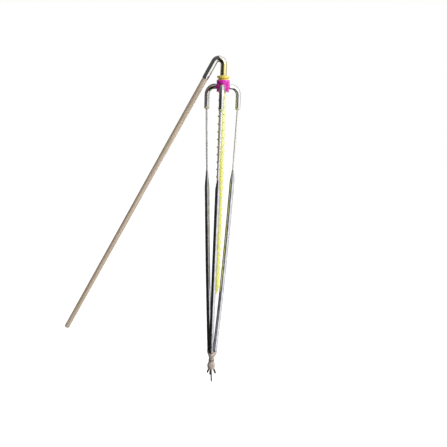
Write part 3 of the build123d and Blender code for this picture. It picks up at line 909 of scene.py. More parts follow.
def add_screw_rod():
    """The helical rod: its lobed section spun up along Z, a tapered foot, the head and the spigot."""
    size = rod()
    pitch = FULL_TURN / abs(SPIN_RATIO)
    bottom = low_height("screw_rod")
    tube_end = high_height("screw_rod") - size.spigot_length
    # The ridge ends inside the head
    top = tube_end - size.head_thickness / 2
    steps = 22
    rise = (0, 0, pitch / steps)
    bm = bmesh.new()
    start_ring(bm, size.core_radius, segments=42)
    for vert in bm.verts:
        angle = math.atan2(vert.co.y, vert.co.x)
        lobe = 0.5 + 0.5 * math.cos(math.pi * min(1.0, abs(angle) / size.ridge_half_width))
        vert.co *= (size.core_radius + size.ridge_height * lobe) / size.core_radius
    keep_lay(bm)
    ring = edges_at(bm.verts)
    start_turn = FULL_TURN * bottom / pitch
    bmesh.ops.transform(bm, verts=bm.verts, matrix=lift(bottom) @ Matrix.Rotation(start_turn, 4, "Z"))
    bmesh.ops.spin(bm, geom=ring, cent=(0, 0, 0), axis=(0, 0, 1), dvec=rise, angle=FULL_TURN, steps=steps)
    for doubling in range(math.ceil(math.log2((top - bottom) / pitch))):
        copied = bmesh.ops.duplicate(bm, geom=everything(bm))["geom"]
        bmesh.ops.translate(bm, verts=verts_of(copied), vec=(0.0, 0.0, pitch * 2**doubling))
    bmesh.ops.remove_doubles(bm, verts=bm.verts, dist=MERGE_DISTANCE)
    bmesh.ops.bisect_plane(
        bm, geom=everything(bm), plane_co=(0, 0, top), plane_no=(0, 0, 1), clear_outer=True
    )
    lay = lay_layer(bm)
    tip_radius = size.tip_diameter / 2
    widest = size.core_radius + size.ridge_height
    for vert in bm.verts:
        limit = tip_radius + (widest - tip_radius) * eased((vert.co.z - bottom) / size.taper)
        out = math.hypot(vert.co.x, vert.co.y)
        vert[lay] = Vector((vert[lay].x, vert[lay].y, vert.co.z))
        if out > limit:
            vert.co.x *= limit / out
            vert.co.y *= limit / out
    close_ends(bm)
    head = rod_head(size, tube_end)
    bm.from_mesh(head)
    bpy.data.meshes.remove(head)
    add_piece("helical_rod", bm, ROD_PLACE, rod_material(), "hanger", "screw_rod")


def add_push_collar():
    """The flanged collar on top of the hub, with a recess for the rod's head."""
    size = hub()
    top = high_height("push_collar")
    bottom = low_height("push_collar")
    flange_low = top - size.flange_thickness
    recess_low = top - size.recess_depth
    outline = [
        (size.collar_bore / 2, bottom),
        (size.neck_diameter / 2, bottom),
        (size.neck_diameter / 2, flange_low),
        (size.flange_diameter / 2, flange_low),
        (size.flange_diameter / 2, top),
        (size.head_recess / 2, top),
        (size.head_recess / 2, recess_low),
        (size.collar_bore / 2, recess_low),
    ]
    bm = lathe(outline)
    round_edges(bm, size.edge * 0.6)
    yellow = finishes().collar_yellow
    plastic = moulded_material("collar_plastic", yellow, 0.24, 0.36, depth=2.0 * MM, milky=0.3)
    add_piece("push_collar_moulding", bm, ROD_PLACE, plastic, "carriage", "push_collar")


def hub_body(size):
    """The hub's turned body with its rim, its seat for the collar and its hole."""
    outline = [
        (size.hub_bore / 2, -size.barrel_height),
        (size.barrel_diameter / 2, -size.barrel_height),
        (size.barrel_diameter / 2, -size.rim_height),
        (size.rim_diameter / 2, -size.rim_height),
        (size.rim_diameter / 2, 0.0),
        (size.seat_diameter / 2, 0.0),
        (size.seat_diameter / 2, -size.seat_depth),
        (size.hub_bore / 2, -size.seat_depth),
    ]
    bm = lathe(outline, steps=72)
    round_edges(bm, size.edge)
    return bm


def hub_lug(bm, size, inner, angle):
    """One hanging lug on the hub's side."""
    bottom = low_height("hub")
    top = -size.rim_height / 2
    scale = Matrix.Diagonal((size.lug_reach - inner, size.lug_width, top - bottom, 1.0))
    centre = Matrix.Translation(((size.lug_reach + inner) / 2, 0.0, (top + bottom) / 2))
    place = Matrix.Rotation(angle, 4, "Z") @ centre @ scale
    verts = bmesh.ops.create_cube(bm, size=1.0, matrix=place)["verts"]
    round_edges(bm, size.edge, sharper_than=60.0, edges=edges_at(verts))


def hub_boss(bm, size, inner, angle):
    """One round boss from which an arm starts."""
    sideways = Matrix.Rotation(math.pi / 2, 4, "Y")
    start = Matrix.Rotation(angle, 4, "Z") @ Matrix.Translation((inner, 0.0, -size.arm_drop)) @ sideways
    before = set(bm.edges)
    ring = start_ring(bm, size.boss_diameter / 2, segments=36, place=start)
    far = pull_ring(bm, ring, Matrix.Translation(round_axis(size.boss_reach - inner, angle, 0.0)))
    bmesh.ops.holes_fill(bm, edges=ring + far, sides=0)
    made = [edge for edge in bm.edges if edge not in before]
    bmesh.ops.recalc_face_normals(bm, faces=list({face for edge in made for face in edge.link_faces}))
    round_edges(bm, size.edge * 0.5, sharper_than=60.0, edges=made)


def add_hub():
    """The turning hub: turned body, three lugs and three bosses."""
    size = hub()
    bm = hub_body(size)
    # Lugs and bosses start in the middle of the barrel's wall
    inner = (size.hub_bore + size.barrel_diameter) / 4
    for angle in ARM_ANGLE.values():
        hub_lug(bm, size, inner, angle + math.pi / 3)
        hub_boss(bm, size, inner, angle)
    plastic = moulded_material("hub_plastic", finishes().hub_magenta, 0.16, 0.28, depth=2.5 * MM, milky=0.4)
    add_piece("hub_moulding", bm, ROD_PLACE, plastic, "rotor", "hub")


def towards_arm(side, out, height):
    """A place in the rod's frame turned to an arm, some way out from the axis."""
    return ROD_PLACE @ Matrix.Rotation(ARM_ANGLE[side], 4, "Z") @ Matrix.Translation((out, 0.0, height))


def add_arms():
    """The three J-shaped pipe arms."""
    size = arms()
    metal = polished_material("arm_metal", finishes().arm_metal)
    drop_leg = -hub().arm_drop - size.bend_radius - ARM_END
    outwards = Matrix(((0, 0, 1, 0), (0, 1, 0, 0), (1, 0, 0, 0), (0, 0, 0, 1)))
    section = (size.arm_diameter, size.arm_wall)
    run = (size.straight, size.bend_radius, math.pi / 2, drop_leg)
    for side in SIDES:
        bm = bent_pipe(*section, *run, size.flattening, 0.0)
        place = towards_arm(side, hub().boss_reach, -hub().arm_drop) @ outwards
        add_piece(f"pipe_arm_{side}", bm, place, metal, "rotor", f"arm_{side}")


def coat_foot():
    """The height of the coats' lower ends."""
    return high_height("tip_wrap") - tip().wrap_cover


def on_bundle():
    """The place of the gathered ends' axis, a little beside the rod's."""
    return ROD_PLACE @ Matrix.Translation((-wires().gather_shift, 0.0, 0.0))


def sparkler_line(side):
    """The lower end of a sparkler in the rod's frame, and its line from there to the arm's end."""
    size = wires()
    foot = round_axis(size.gather_radius, ARM_ANGLE[side] + size.gather_turn, coat_foot())
    foot.x -= size.gather_shift
    return foot, round_axis(ARM_CIRCLE, ARM_ANGLE[side], ARM_END) - foot


def on_sparkler(side):
    """The place of a sparkler: its lower end at the origin, its chord along Z and its bow along X."""
    foot, run = sparkler_line(side)
    along = run.normalized()
    across = along.cross(round_axis(1.0, ARM_ANGLE[side], 0.0)).normalized()
    axes = Matrix((across.cross(along), across, along)).transposed().to_4x4()
    return ROD_PLACE @ Matrix.Translation(foot) @ axes


def sparkler_arc(side):
    """The bow of a sparkler, its chord, the radius of its arc and half the arc's angle."""
    bow = getattr(wires(), f"bow_{side}")
    chord = sparkler_line(side)[1].length
    radius = (chord**2 / 4 + bow**2) / (2 * bow)
    return bow, chord, radius, math.asin(chord / 2 / radius)


def bend_to_arc(bm, side):
    """Bend a bar that stands straight on a sparkler's lower end along the sparkler's arc."""
    bow, chord, radius, half_turn = sparkler_arc(side)
    for vert in bm.verts:
        turn = vert.co.z / radius - half_turn
        out = bow - radius + (radius + vert.co.x) * math.cos(turn)
        along = chord / 2 + (radius + vert.co.x) * math.sin(turn)
        vert.co = (out, vert.co.y, along)


def add_arm_plugs():
    """The pale plugs that close the arms and grip the wires."""
    size = arms()
    plastic = moulded_material("plug_plastic", finishes().plug_cream, 0.34, 0.5)
    body = size.arm_diameter / 2 - size.arm_wall
    hole = wires().wire_diameter / 2 + 0.05 * MM
    lip = size.lip_diameter / 2
    bottom = low_height("arm_plug_front")
    socket_end = bottom + size.socket_depth
    top = ARM_END + size.plug_depth
    outline = [(0.0, socket_end), (hole, socket_end), (hole, bottom), (lip, bottom)]
    outline += [(lip, ARM_END), (body, ARM_END), (body, top), (0.0, top)]
    for side in SIDES:
        bm = lathe(outline, closed=False, steps=48)
        outer = [edge for edge in bm.edges if min(v.co.xy.length for v in edge.verts) > hole * 1.5]
        round_edges(bm, size.lip_edge * 0.7, sharper_than=60.0, edges=outer)
        place = towards_arm(side, ARM_CIRCLE, 0.0)
        add_piece(f"arm_end_plug_{side}", bm, place, plastic, "rotor", f"arm_plug_{side}")


def add_wires():
    """The three bare steel wires, each with a slight handmade waviness."""
    size = wires()
    metal = wire_material()
    wave_height = 0.12 * MM
    wave_length = 60 * MM
    for order, side in enumerate(SIDES):
        _, _, radius, half_turn = sparkler_arc(side)
        total = 2 * radius * half_turn + size.wire_in_arm - size.coat_end
        bm = straight_bar(size.wire_diameter / 2, total, rings=90, segments=16)
        close_ends(bm)
        keep_lay(bm)
        for vert in bm.verts:
            spot = Vector((7.0 * order, 0.0, vert.co.z / wave_length))
            vert.co.x += wave_height * noise.noise(spot)
            vert.co.y += wave_height * noise.noise(spot + Vector((0.0, 5.0, 0.0)))
        bmesh.ops.translate(bm, verts=bm.verts, vec=(0.0, 0.0, size.coat_end))
        bend_to_arc(bm, side)
        node = f"sparkler_wire_{side}"
        add_piece(f"steel_wire_{side}", bm, on_sparkler(side), metal, "rotor", node)


def coat_radius(size, total, run_in, seed, point):
    """The radius of a coat at a point: it thins out at the top, is lumpy and is rounded at the foot."""
    ragged_height = 2.5 * MM
    ragged_width = 3.0 * MM
    broad_lump = 7.0 * MM
    small_lump = 2.6 * MM
    sag_length = 24.0 * MM
    skin = size.wire_diameter / 2 + size.coat_skin
    ragged = ragged_height * wobble(way_out(point) * ragged_width + seed, ragged_width)
    grown = eased((total + ragged - point.z) / run_in)
    radius = skin + (size.coat_diameter / 2 - skin) * grown
    lump = wobble(point + seed, broad_lump) + 0.55 * wobble(point + seed, small_lump)
    sag = wobble(Vector((seed.x, 0.0, point.z)), sag_length)
    radius += size.coat_lump * grown * (0.6 * lump + 0.5 * sag)
    if point.z < size.coat_end:
        radius *= math.sqrt(max(0.02, 1 - (1 - point.z / size.coat_end) ** 2))
    return radius


def add_coats():
    """The three dipped coats: lumpy, thinning out unevenly at the top and rounded at the foot."""
    size = wires()
    paste = coat_material()
    for order, side in enumerate(SIDES):
        total = high_height(f"sparkler_coat_{side}") - coat_foot()
        run_in = getattr(size, f"run_in_{side}")
        seed = Vector((31.0 * MM * order, 0.0, 0.0))
        bm = straight_bar(size.coat_diameter / 2, total, rings=190, segments=32)
        set_radii(bm, partial(coat_radius, size, total, run_in, seed))
        close_ends(bm)
        keep_lay(bm)
        bend_to_arc(bm, side)
        node = f"sparkler_coat_{side}"
        add_piece(f"dipped_coat_{side}", bm, on_sparkler(side), paste, "rotor", node)


def match_radius(widest, total, seed, point):
    """The radius of a match end at a point: lumpy, and rounded at both ends."""
    broad_lump = 1.9 * MM
    small_lump = 0.8 * MM
    from_end = min(point.z, total - point.z) / widest
    closing = math.sqrt(max(0.03, 1 - (1 - min(1.0, from_end)) ** 2))
    lump = 0.5 * wobble(point + seed, broad_lump) + 0.3 * wobble(point + seed, small_lump)
    return widest * closing * (0.94 + 0.22 * lump)


def add_match_ends():
    """The three black match ends that splay out of the wrap: short, lumpy and rounded."""
    size = tip()
    dip = primer_material()
    widest = size.primer_diameter / 2
    root = Matrix.Translation((size.primer_root, 0.0, low_height("tip_wrap")))
    down = Matrix.Rotation(math.pi - size.primer_splay, 4, "Y")
    for order, side in enumerate(SIDES):
        total = size.primer_tuck + getattr(size, f"primer_{side}")
        seed = Vector((17.0 * MM * order, 4.0 * MM, 0.0))
        bm = straight_bar(widest, total, rings=40, segments=24)
        set_radii(bm, partial(match_radius, widest, total, seed))
        close_ends(bm)
        turn = Matrix.Rotation(ARM_ANGLE[side] + size.primer_turn, 4, "Z")
        place = on_bundle() @ turn @ root @ down @ lift(-size.primer_tuck)
        add_piece(f"match_end_{side}", bm, place, dip, "rotor", f"primer_end_{side}")


def wrap_radius(angle, height, size):
    """The paper's radius at an angle and a height, and how far a fold stands out there."""
    pleats = 15
    drift_height = 9.0 * MM
    ripple_height = 3.0 * MM
    crumple_height = 2.4 * MM
    freed_over = 5.0 * MM
    foot = low_height("tip_wrap")
    waist = coat_foot() - size.waist_drop
    turned = angle - wires().gather_turn
    off_coat = min(abs(math.remainder(turned - arm, FULL_TURN)) for arm in ARM_ANGLE.values())
    over = size.wrap_between + (size.wrap_over - size.wrap_between) * math.cos(1.5 * off_coat) ** 2
    if height >= waist:
        narrowing = eased((coat_foot() + 0.5 * MM - height) / (coat_foot() - waist - size.waist_half))
        radius = over + (size.waist_radius - over) * narrowing
    else:
        # The skirt flares to its largest radius and then comes in to its lower edge
        flared = 0.6
        below = max(0.0, (waist - size.waist_half - height) / (waist - size.waist_half - foot))
        flare = math.sin(min(1.0, below / flared) * math.pi / 2)
        radius = size.waist_radius + (size.skirt_radius - size.waist_radius) * flare
        radius += (size.foot_radius - size.skirt_radius) * eased((below - flared) / (1 - flared))
    free = min(1.0, max(0.12, (abs(height - waist) - size.waist_half) / freed_over))
    around = round_axis(1.0, angle, 0.0)
    drift = 0.5 * noise.noise(around * 1.7 + Vector((0.0, 0.0, height / drift_height)))
    ripple = noise.noise(around * 4.5 + Vector((3.0, 0.0, height / ripple_height)))
    crumple = noise.noise(around * 2.4 + Vector((0.0, 8.0, height / crumple_height)))
    pleat = math.sin(pleats * (angle + drift)) + 0.6 * ripple
    upper = 0.6 if height > waist else 1.0
    fold = (pleat + 0.9 * crumple) / 1.9
    return radius + size.pleat * free * upper * fold, fold * free


def add_tip_wrap():
    """The gathered paper: a crumpled, pleated sleeve, closed over the ends and tied in at its waist."""
    size = tip()
    top = high_height("tip_wrap")
    foot = low_height("tip_wrap")
    recess = 1.3 * MM
    paper = 0.25 * MM
    ragged = 0.55 * MM
    dent = 0.35 * MM
    dent_width = 1.6 * MM
    shade_width = 1.2 * MM
    rings = 64
    bm = bmesh.new()
    ring = start_ring(bm, 1.0, segments=132, place=lift(top - recess))
    mouth = pull_ring(bm, ring, lift(recess))
    sleeve = pull_rings(bm, mouth, lift((foot - top) / rings), rings)
    hem = pull_ring(bm, sleeve, lift(recess))
    fold = bm.verts.layers.float.new("fold")
    inner = set(ring_verts(ring + hem))
    for vert in bm.verts:
        angle = math.atan2(vert.co.y, vert.co.x)
        around = round_axis(1.0, angle, 0.0)
        radius, vert[fold] = wrap_radius(angle, vert.co.z, size)
        radius -= paper if vert in inner else 0.0
        height = vert.co.z
        if abs(vert.co.z - top) < MERGE_DISTANCE:
            height += ragged * noise.noise(around * 5.0)
        if abs(vert.co.z - foot) < MERGE_DISTANCE:
            height += ragged * noise.noise(around * 4.0 + Vector((0.0, 0.0, 9.0)))
        vert.co = around * radius + Vector((0.0, 0.0, height))
    for edges, seed in ((ring, -20.0), (hem, 20.0)):
        for narrow in (0.72, 0.62, 0.45, 0.2):
            edges = pull_ring(bm, edges, Matrix.Diagonal((narrow, narrow, 1.0, 1.0)))
            for vert in ring_verts(edges):
                around = Vector((vert.co.x, vert.co.y, 0.0))
                vert.co.z += dent * noise.noise(around / dent_width + Vector((0.0, 0.0, seed)))
                # The fold value on the closed ends sets their mottled painted shade
                vert[fold] = -0.25 + 0.5 * noise.noise(around / shade_width)
    close_ends(bm)
    add_piece("paper_wrap", bm, on_bundle(), paper_material(), "rotor", "tip_wrap", smooth=60.0)


def twisted_ring(bm, radius, strands, segments, place):
    """A ring with a rounded lobe for each strand of a twisted thread."""
    fold = bm.verts.layers.float.new("fold")
    lay = lay_layer(bm)
    ring = start_ring(bm, radius, segments)
    for vert in bm.verts:
        lobe = abs(math.cos(strands * math.atan2(vert.co.y, vert.co.x) / 2))
        vert.co *= 0.74 + 0.26 * math.sqrt(lobe)
        vert[fold] = 2 * lobe - 1
        vert[lay] = vert.co
    bmesh.ops.transform(bm, matrix=place, verts=bm.verts)
    return ring


def pull_thread(bm, ring, move, way, twist, advance):
    """Pull a thread's ring one step on, turn it a little about its own line and note how far it has come."""
    centre = ring_centre(ring)
    turn = Matrix.Translation(centre) @ Matrix.Rotation(twist, 4, way) @ Matrix.Translation(-centre)
    ring = pull_ring(bm, ring, move @ turn)
    lay = lay_layer(bm)
    for vert in ring_verts(ring):
        vert[lay] = vert[lay] + Vector((0.0, 0.0, advance))
    return ring


def add_wrap_tie():
    """The two-ply thread wound three times round the waist, with short straight ends."""
    size = tip()
    turns = 3
    steps = 40
    tail_steps = 4
    ply_length = 1.6 * MM
    radius = size.waist_radius + size.thread / 2
    low = coat_foot() - size.waist_drop - turns * size.thread_pitch / 2
    rise = size.thread_pitch / steps
    step = FULL_TURN / steps
    advance = math.hypot(radius * step, rise)
    twist = advance / ply_length * FULL_TURN
    tail = size.thread_tail / tail_steps
    bm = bmesh.new()
    start = Matrix.Translation((radius, -size.thread_tail, low)) @ Matrix.Rotation(-math.pi / 2, 4, "X")
    ring = twisted_ring(bm, size.thread / 2, strands=2, segments=14, place=start)
    way = Vector((0.0, 1.0, 0.0))
    for _ in range(tail_steps):
        ring = pull_thread(bm, ring, Matrix.Translation(way * tail), way, twist, tail)
    wind = lift(rise) @ Matrix.Rotation(step, 4, "Z")
    for _ in range(turns * steps):
        ring = pull_thread(bm, ring, wind, way, twist, advance)
        way = Matrix.Rotation(step, 3, "Z") @ way
    for _ in range(tail_steps):
        ring = pull_thread(bm, ring, Matrix.Translation(way * tail), way, twist, tail)
    close_ends(bm)
    thread = twisted_material("tie_fibre", finishes().thread_brown)
    add_piece("waist_tie", bm, on_bundle(), thread, "rotor", "wrap_tie")


def add_hairs(bm, end, way):
    """A few loose hairs at the end of a thread."""
    hairs = 7
    thick = 0.11 * MM
    thin = 0.03 * MM
    for count in range(hairs):
        spread = round_axis(1.0, FULL_TURN * count / hairs, 0.0)
        hair_way = (way + spread * (0.25 + 0.15 * (count % 3))).normalized()
        hair_length = (0.9 + 0.25 * (count % 4)) * MM
        place = Matrix.Translation(end + spread * 0.3 * MM + hair_way * hair_length / 2)
        place = place @ hair_way.to_track_quat("Z", "Y").to_matrix().to_4x4()
        bmesh.ops.create_cone(
            bm, cap_ends=True, segments=5, radius1=thick, radius2=thin, depth=hair_length, matrix=place
        )


def add_wick():
    """The twisted wick: it leaves the wrap straight, leans a little and ends in a few loose hairs."""
    size = tip()
    top = low_height("tip_wrap") + size.wick_tuck
    steps = 96
    ply_length = 4.2 * MM
    advance = (top - low_height("wick")) / steps
    twist = advance / ply_length * FULL_TURN
    bend = Matrix.Rotation(-size.wick_lean / steps, 3, "Y")
    bm = bmesh.new()
    start = lift(top) @ Matrix.Rotation(math.pi, 4, "X")
    ring = twisted_ring(bm, size.wick_diameter / 2, strands=3, segments=30, place=start)
    way = Vector((0.0, 0.0, -1.0))
    for _ in range(steps):
        centre = ring_centre(ring)
        turn = Matrix.Translation(centre) @ bend.to_4x4() @ Matrix.Translation(-centre)
        ring = pull_thread(bm, ring, Matrix.Translation(way * advance) @ turn, way, twist, advance)
        way = bend @ way
    end = ring_centre(ring)
    close_ends(bm)
    add_hairs(bm, end, way)
    fibre = twisted_material("wick_fibre", finishes().wick_grey)
    add_piece("twisted_wick", bm, on_bundle(), fibre, "rotor", "wick")


# Stage: floor, white surround, cards, lamp and camera
WHITE = (1.0, 1.0, 1.0, 1.0)
CARD_TINT = (1.0, 1.0, 0.97, 1.0)
FLOOR_GREY = (0.30, 0.30, 0.30)
SEEN_FLOOR_GREY = (0.36, 0.36, 0.36)
FLOOR_LEVEL = -0.85
FLOOR_SIZE = 6.0
CARD_RADIUS = 0.95
CARD_TOP = 1.1
CARD_SPLIT = -0.16
GROUND_LEVEL = FLOOR_LEVEL + 0.02

# Directions that the light and the fill come from
LIT_FROM = Vector((0.80, -0.50, 0.33)).normalized()
FILLED_FROM = Vector((0.15, 0.95, 0.25)).normalized()

# Cards: name, first and last angle from the camera's side, outline of (radius, height), lower and upper grey
WALL = ((CARD_RADIUS, FLOOR_LEVEL), (CARD_RADIUS, CARD_SPLIT))
HOOD = ((CARD_RADIUS, CARD_SPLIT), (CARD_RADIUS, 0.6), (0.75, 1.0), (0.4, 1.25), (0.02, 1.35))
GROUND = ((0.02, GROUND_LEVEL), (CARD_RADIUS, GROUND_LEVEL + 0.01))
UNDER = ((0.02, GROUND_LEVEL), (0.94, GROUND_LEVEL + 0.001))
SIDE = ((CARD_RADIUS, FLOOR_LEVEL), (CARD_RADIUS, CARD_TOP))
CARDS = (
    ("dark_wall", 14.0, -185.0, WALL, 0.006, 0.006),
    ("dark_hood", 8.0, -185.0, HOOD, 0.02, 0.14),
    ("dark_ground", 24.0, -175.0, GROUND, 0.008, 0.008),
    ("dark_under", 185.0, 24.0, UNDER, 0.03, 0.03),
    ("grey_side", 112.0, 175.0, SIDE, 0.40, 0.40),
)


def empty_material(name):
    """A new material and its cleared node tree."""
    material = bpy.data.materials.new(name)
    material.use_nodes = True
    material.node_tree.nodes.clear()
    return material, material.node_tree


def either_ray(tree, *kinds):
    """1 for rays of the named kinds, and 0 for others."""
    rays = put(tree, "ShaderNodeLightPath").outputs
    level = rays[kinds[0]]
    for kind in kinds[1:]:
        level = summed(tree, level, rays[kind], "MAXIMUM")
    return level


def add_floor():
    """A pale floor below the object's lowest pose. The camera sees it white, with the object's shadow."""
    material, tree = empty_material("floor_white")
    seen = either_ray(tree, "Is Camera Ray", "Is Glossy Ray")
    plain = put(tree, "ShaderNodeBsdfDiffuse", {"Color": rgba(FLOOR_GREY)})
    lifted = put(tree, "ShaderNodeBsdfDiffuse", {"Color": rgba(SEEN_FLOOR_GREY)})
    glow = put(tree, "ShaderNodeEmission", {"Color": WHITE, "Strength": 0.88})
    white = put(tree, "ShaderNodeAddShader", {0: lifted.outputs[0], 1: glow.outputs[0]})
    shown = put(tree, "ShaderNodeMixShader", {0: seen, 1: plain.outputs[0], 2: white.outputs[0]})
    put(tree, "ShaderNodeOutputMaterial", {"Surface": shown.outputs[0]})
    bm = bmesh.new()
    bmesh.ops.create_grid(bm, x_segments=4, y_segments=4, size=FLOOR_SIZE, matrix=lift(FLOOR_LEVEL))
    mesh_object("pale_floor", bm, material)


def add_card(name, from_angle, to_angle, outline, low_grey, high_grey):
    """A card that only shows in reflections: an outline of (radius, height) corners, swept round the rod
    between two angles from the camera's side, with its own grey at the bottom and at the top."""
    material, tree = empty_material(name)
    height = height_of(tree, place_of(tree))
    grey = fitted(tree, height, outline[0][1], outline[-1][1], low_grey, high_grey)
    glow = put(tree, "ShaderNodeEmission", {"Color": CARD_TINT, "Strength": grey})
    put(tree, "ShaderNodeOutputMaterial", {"Surface": glow.outputs[0]})
    bm = bmesh.new()
    verts = [bm.verts.new((0.0, -radius, height)) for radius, height in outline]
    edges = [bm.edges.new(pair) for pair in zip(verts, verts[1:])]
    start = Matrix.Rotation(math.radians(from_angle), 3, "Z")
    bmesh.ops.rotate(bm, verts=verts, cent=(0, 0, 0), matrix=start)
    turn = math.radians(to_angle - from_angle)
    bmesh.ops.spin(bm, geom=verts + edges, cent=(0, 0, 0), axis=(0, 0, 1), angle=turn, steps=24)
    bmesh.ops.translate(bm, verts=bm.verts, vec=(ROD_ORIGIN.x, 0.0, 0.0))
    card = mesh_object(name, bm, material)
    card.visible_camera = False
    card.visible_diffuse = False
    card.visible_shadow = False
    card.visible_transmission = False


def set_world():
    """A white surround for the camera and for reflections, and a softer light for the rest."""
    world = bpy.data.worlds.new("white_surround")
    bpy.context.scene.world = world
    world.use_nodes = True
    tree = world.node_tree
    tree.nodes.clear()
    seen = either_ray(tree, "Is Camera Ray", "Is Glossy Ray", "Is Transmission Ray")
    way = put(tree, "ShaderNodeTexCoord").outputs["Generated"]
    facing = vector_math(tree, "DOT_PRODUCT", "Value", way, LIT_FROM)
    behind = vector_math(tree, "DOT_PRODUCT", "Value", way, FILLED_FROM)
    light = fitted(tree, facing, 0.25, 1.0, 0.03, 1.5)
    fill = fitted(tree, behind, -0.2, 0.9, 0.08, 0.9)
    level = summed(tree, light, fill, "MAXIMUM")
    soft = put(tree, "ShaderNodeBackground", {"Color": WHITE, "Strength": level})
    white = put(tree, "ShaderNodeBackground", {"Color": WHITE, "Strength": 1.0})
    shown = put(tree, "ShaderNodeMixShader", {0: seen, 1: soft.outputs[0], 2: white.outputs[0]})
    put(tree, "ShaderNodeOutputWorld", {"Surface": shown.outputs[0]})


def add_lamp():
    """A soft square lamp to the right of the camera and above it, which looks at the object's middle."""
    aim = ROD_ORIGIN - Vector((0.0, 0.0, 0.14))
    to_lamp = Vector((0.95, -0.60, 0.60))
    light = bpy.data.lights.new("key_lamp", "AREA")
    light.size = 0.8
    light.energy = 10.0
    lamp = place_object("key_lamp", light)
    lamp.location = aim + to_lamp
    lamp.rotation_euler = (-to_lamp).to_track_quat("-Z", "Y").to_euler()


def add_camera():
    """The camera of the photograph: tilted down at the object and rolled a little."""
    tilt = math.radians(17.8)
    roll = math.radians(2.15)
    distance = 500.0 * MM
    aim_below_hub = 152.9 * MM
    aim_left = -0.25 * MM
    right = Vector((math.cos(roll), 0.0, math.sin(roll)))
    upright = Vector((-math.sin(roll), 0.0, math.cos(roll)))
    away = Vector((0.0, 1.0, 0.0))
    forward = away * math.cos(tilt) - upright * math.sin(tilt)
    up = upright * math.cos(tilt) + away * math.sin(tilt)
    aim = ROD_ORIGIN - upright * aim_below_hub - right * aim_left
    data = bpy.data.cameras.new("photo_camera")
    data.lens = 36.0
    data.sensor_width = 36.0
    data.clip_start = 0.01
    camera = place_object("photo_camera", data)
    axes = Matrix((right, up, -forward)).transposed().to_4x4()
    camera.matrix_world = Matrix.Translation(aim - forward * distance) @ axes
    bpy.context.scene.camera = camera


def add_stage():
    """The floor, the white surround, the cards, the lamp and the camera."""
    bpy.context.scene.view_settings.view_transform = "Standard"
    add_floor()
    set_world()
    for card in CARDS:
        add_card(*card)
    add_lamp()
    add_camera()


class PieceOperator:
    """What every piece's operator shares."""

    bl_options = {"REGISTER", "UNDO"}
    build = None

    def execute(self, context):
        type(self).build()
        return {"FINISHED"}


class SPARKLER_OT_stick(PieceOperator, bpy.types.Operator):
    """Add the wooden stick"""

    bl_idname = "sparkler.stick"
    bl_label = "Wooden Stick"
    build = staticmethod(add_stick)


class SPARKLER_OT_bent_tube(PieceOperator, bpy.types.Operator):
    """Add the bent metal tube"""

    bl_idname = "sparkler.bent_tube"
    bl_label = "Bent Tube"
    build = staticmethod(add_bent_tube)


class SPARKLER_OT_screw_rod(PieceOperator, bpy.types.Operator):
    """Add the helical rod"""

    bl_idname = "sparkler.screw_rod"
    bl_label = "Helical Rod"
    build = staticmethod(add_screw_rod)


class SPARKLER_OT_push_collar(PieceOperator, bpy.types.Operator):
    """Add the push collar"""

    bl_idname = "sparkler.push_collar"
    bl_label = "Push Collar"
    build = staticmethod(add_push_collar)


class SPARKLER_OT_hub(PieceOperator, bpy.types.Operator):
    """Add the hub"""

    bl_idname = "sparkler.hub"
    bl_label = "Hub"
    build = staticmethod(add_hub)


class SPARKLER_OT_arms(PieceOperator, bpy.types.Operator):
    """Add the three pipe arms"""

    bl_idname = "sparkler.arms"
    bl_label = "Pipe Arms"
    build = staticmethod(add_arms)


class SPARKLER_OT_arm_plugs(PieceOperator, bpy.types.Operator):
    """Add the three arm plugs"""

    bl_idname = "sparkler.arm_plugs"
    bl_label = "Arm Plugs"
    build = staticmethod(add_arm_plugs)


class SPARKLER_OT_wires(PieceOperator, bpy.types.Operator):
    """Add the three steel wires"""

    bl_idname = "sparkler.wires"
    bl_label = "Steel Wires"
    build = staticmethod(add_wires)


class SPARKLER_OT_coats(PieceOperator, bpy.types.Operator):
    """Add the three dipped coats"""

    bl_idname = "sparkler.coats"
    bl_label = "Dipped Coats"
    build = staticmethod(add_coats)


class SPARKLER_OT_match_ends(PieceOperator, bpy.types.Operator):
    """Add the three black match ends"""

    bl_idname = "sparkler.match_ends"
    bl_label = "Match Ends"
    build = staticmethod(add_match_ends)


class SPARKLER_OT_tip_wrap(PieceOperator, bpy.types.Operator):
    """Add the paper wrap"""

    bl_idname = "sparkler.tip_wrap"
    bl_label = "Paper Wrap"
    build = staticmethod(add_tip_wrap)


class SPARKLER_OT_wrap_tie(PieceOperator, bpy.types.Operator):
    """Add the tie round the wrap"""

    bl_idname = "sparkler.wrap_tie"
    bl_label = "Wrap Tie"
    build = staticmethod(add_wrap_tie)


class SPARKLER_OT_wick(PieceOperator, bpy.types.Operator):
    """Add the wick"""

    bl_idname = "sparkler.wick"
    bl_label = "Wick"
    build = staticmethod(add_wick)


class SPARKLER_OT_stage(PieceOperator, bpy.types.Operator):
    """Add the floor, the light and the camera"""

    bl_idname = "sparkler.stage"
    bl_label = "Stage"
    build = staticmethod(add_stage)


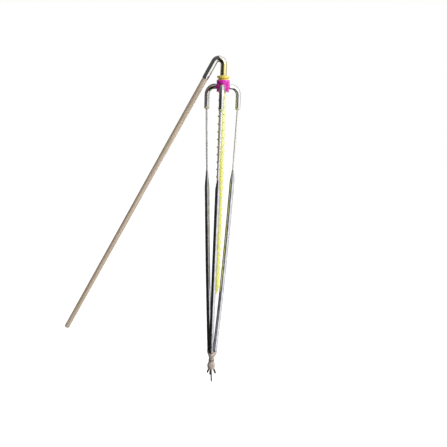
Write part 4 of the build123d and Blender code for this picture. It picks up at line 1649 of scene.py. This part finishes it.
PROPERTY_GROUPS = {
    "sparkler_handle": SparklerHandleSizes,
    "sparkler_rod": SparklerRodSizes,
    "sparkler_hub": SparklerHubSizes,
    "sparkler_arms": SparklerArmSizes,
    "sparkler_wires": SparklerWireSizes,
    "sparkler_tip": SparklerTipSizes,
    "sparkler_finishes": SparklerFinishes,
}

OPERATORS = (
    SPARKLER_OT_stick,
    SPARKLER_OT_bent_tube,
    SPARKLER_OT_screw_rod,
    SPARKLER_OT_push_collar,
    SPARKLER_OT_hub,
    SPARKLER_OT_arms,
    SPARKLER_OT_arm_plugs,
    SPARKLER_OT_wires,
    SPARKLER_OT_coats,
    SPARKLER_OT_match_ends,
    SPARKLER_OT_tip_wrap,
    SPARKLER_OT_wrap_tie,
    SPARKLER_OT_wick,
    SPARKLER_OT_stage,
)


class SPARKLER_PT_pieces(bpy.types.Panel):
    """The sparkler's pieces, sizes and colours"""

    bl_idname = "SPARKLER_PT_pieces"
    bl_label = "Rotating Sparkler"
    bl_space_type = "VIEW_3D"
    bl_region_type = "UI"
    bl_category = "Sparkler"

    def draw(self, context):
        for operator in OPERATORS:
            self.layout.operator(operator.bl_idname)
        for name, group in PROPERTY_GROUPS.items():
            column = self.layout.column()
            for label in group.__annotations__:
                column.prop(getattr(context.scene, name), label)


def register():
    for name, group in PROPERTY_GROUPS.items():
        bpy.utils.register_class(group)
        setattr(bpy.types.Scene, name, bpy.props.PointerProperty(type=group))
    for operator in OPERATORS:
        bpy.utils.register_class(operator)
    bpy.utils.register_class(SPARKLER_PT_pieces)


def unregister():
    bpy.utils.unregister_class(SPARKLER_PT_pieces)
    for operator in reversed(OPERATORS):
        bpy.utils.unregister_class(operator)
    for name, group in reversed(PROPERTY_GROUPS.items()):
        delattr(bpy.types.Scene, name)
        bpy.utils.unregister_class(group)


def main():
    """Build every piece in order."""
    register()
    for operator in OPERATORS:
        family, action = operator.bl_idname.split(".")
        getattr(getattr(bpy.ops, family), action)()


if __name__ == "__main__":
    main()
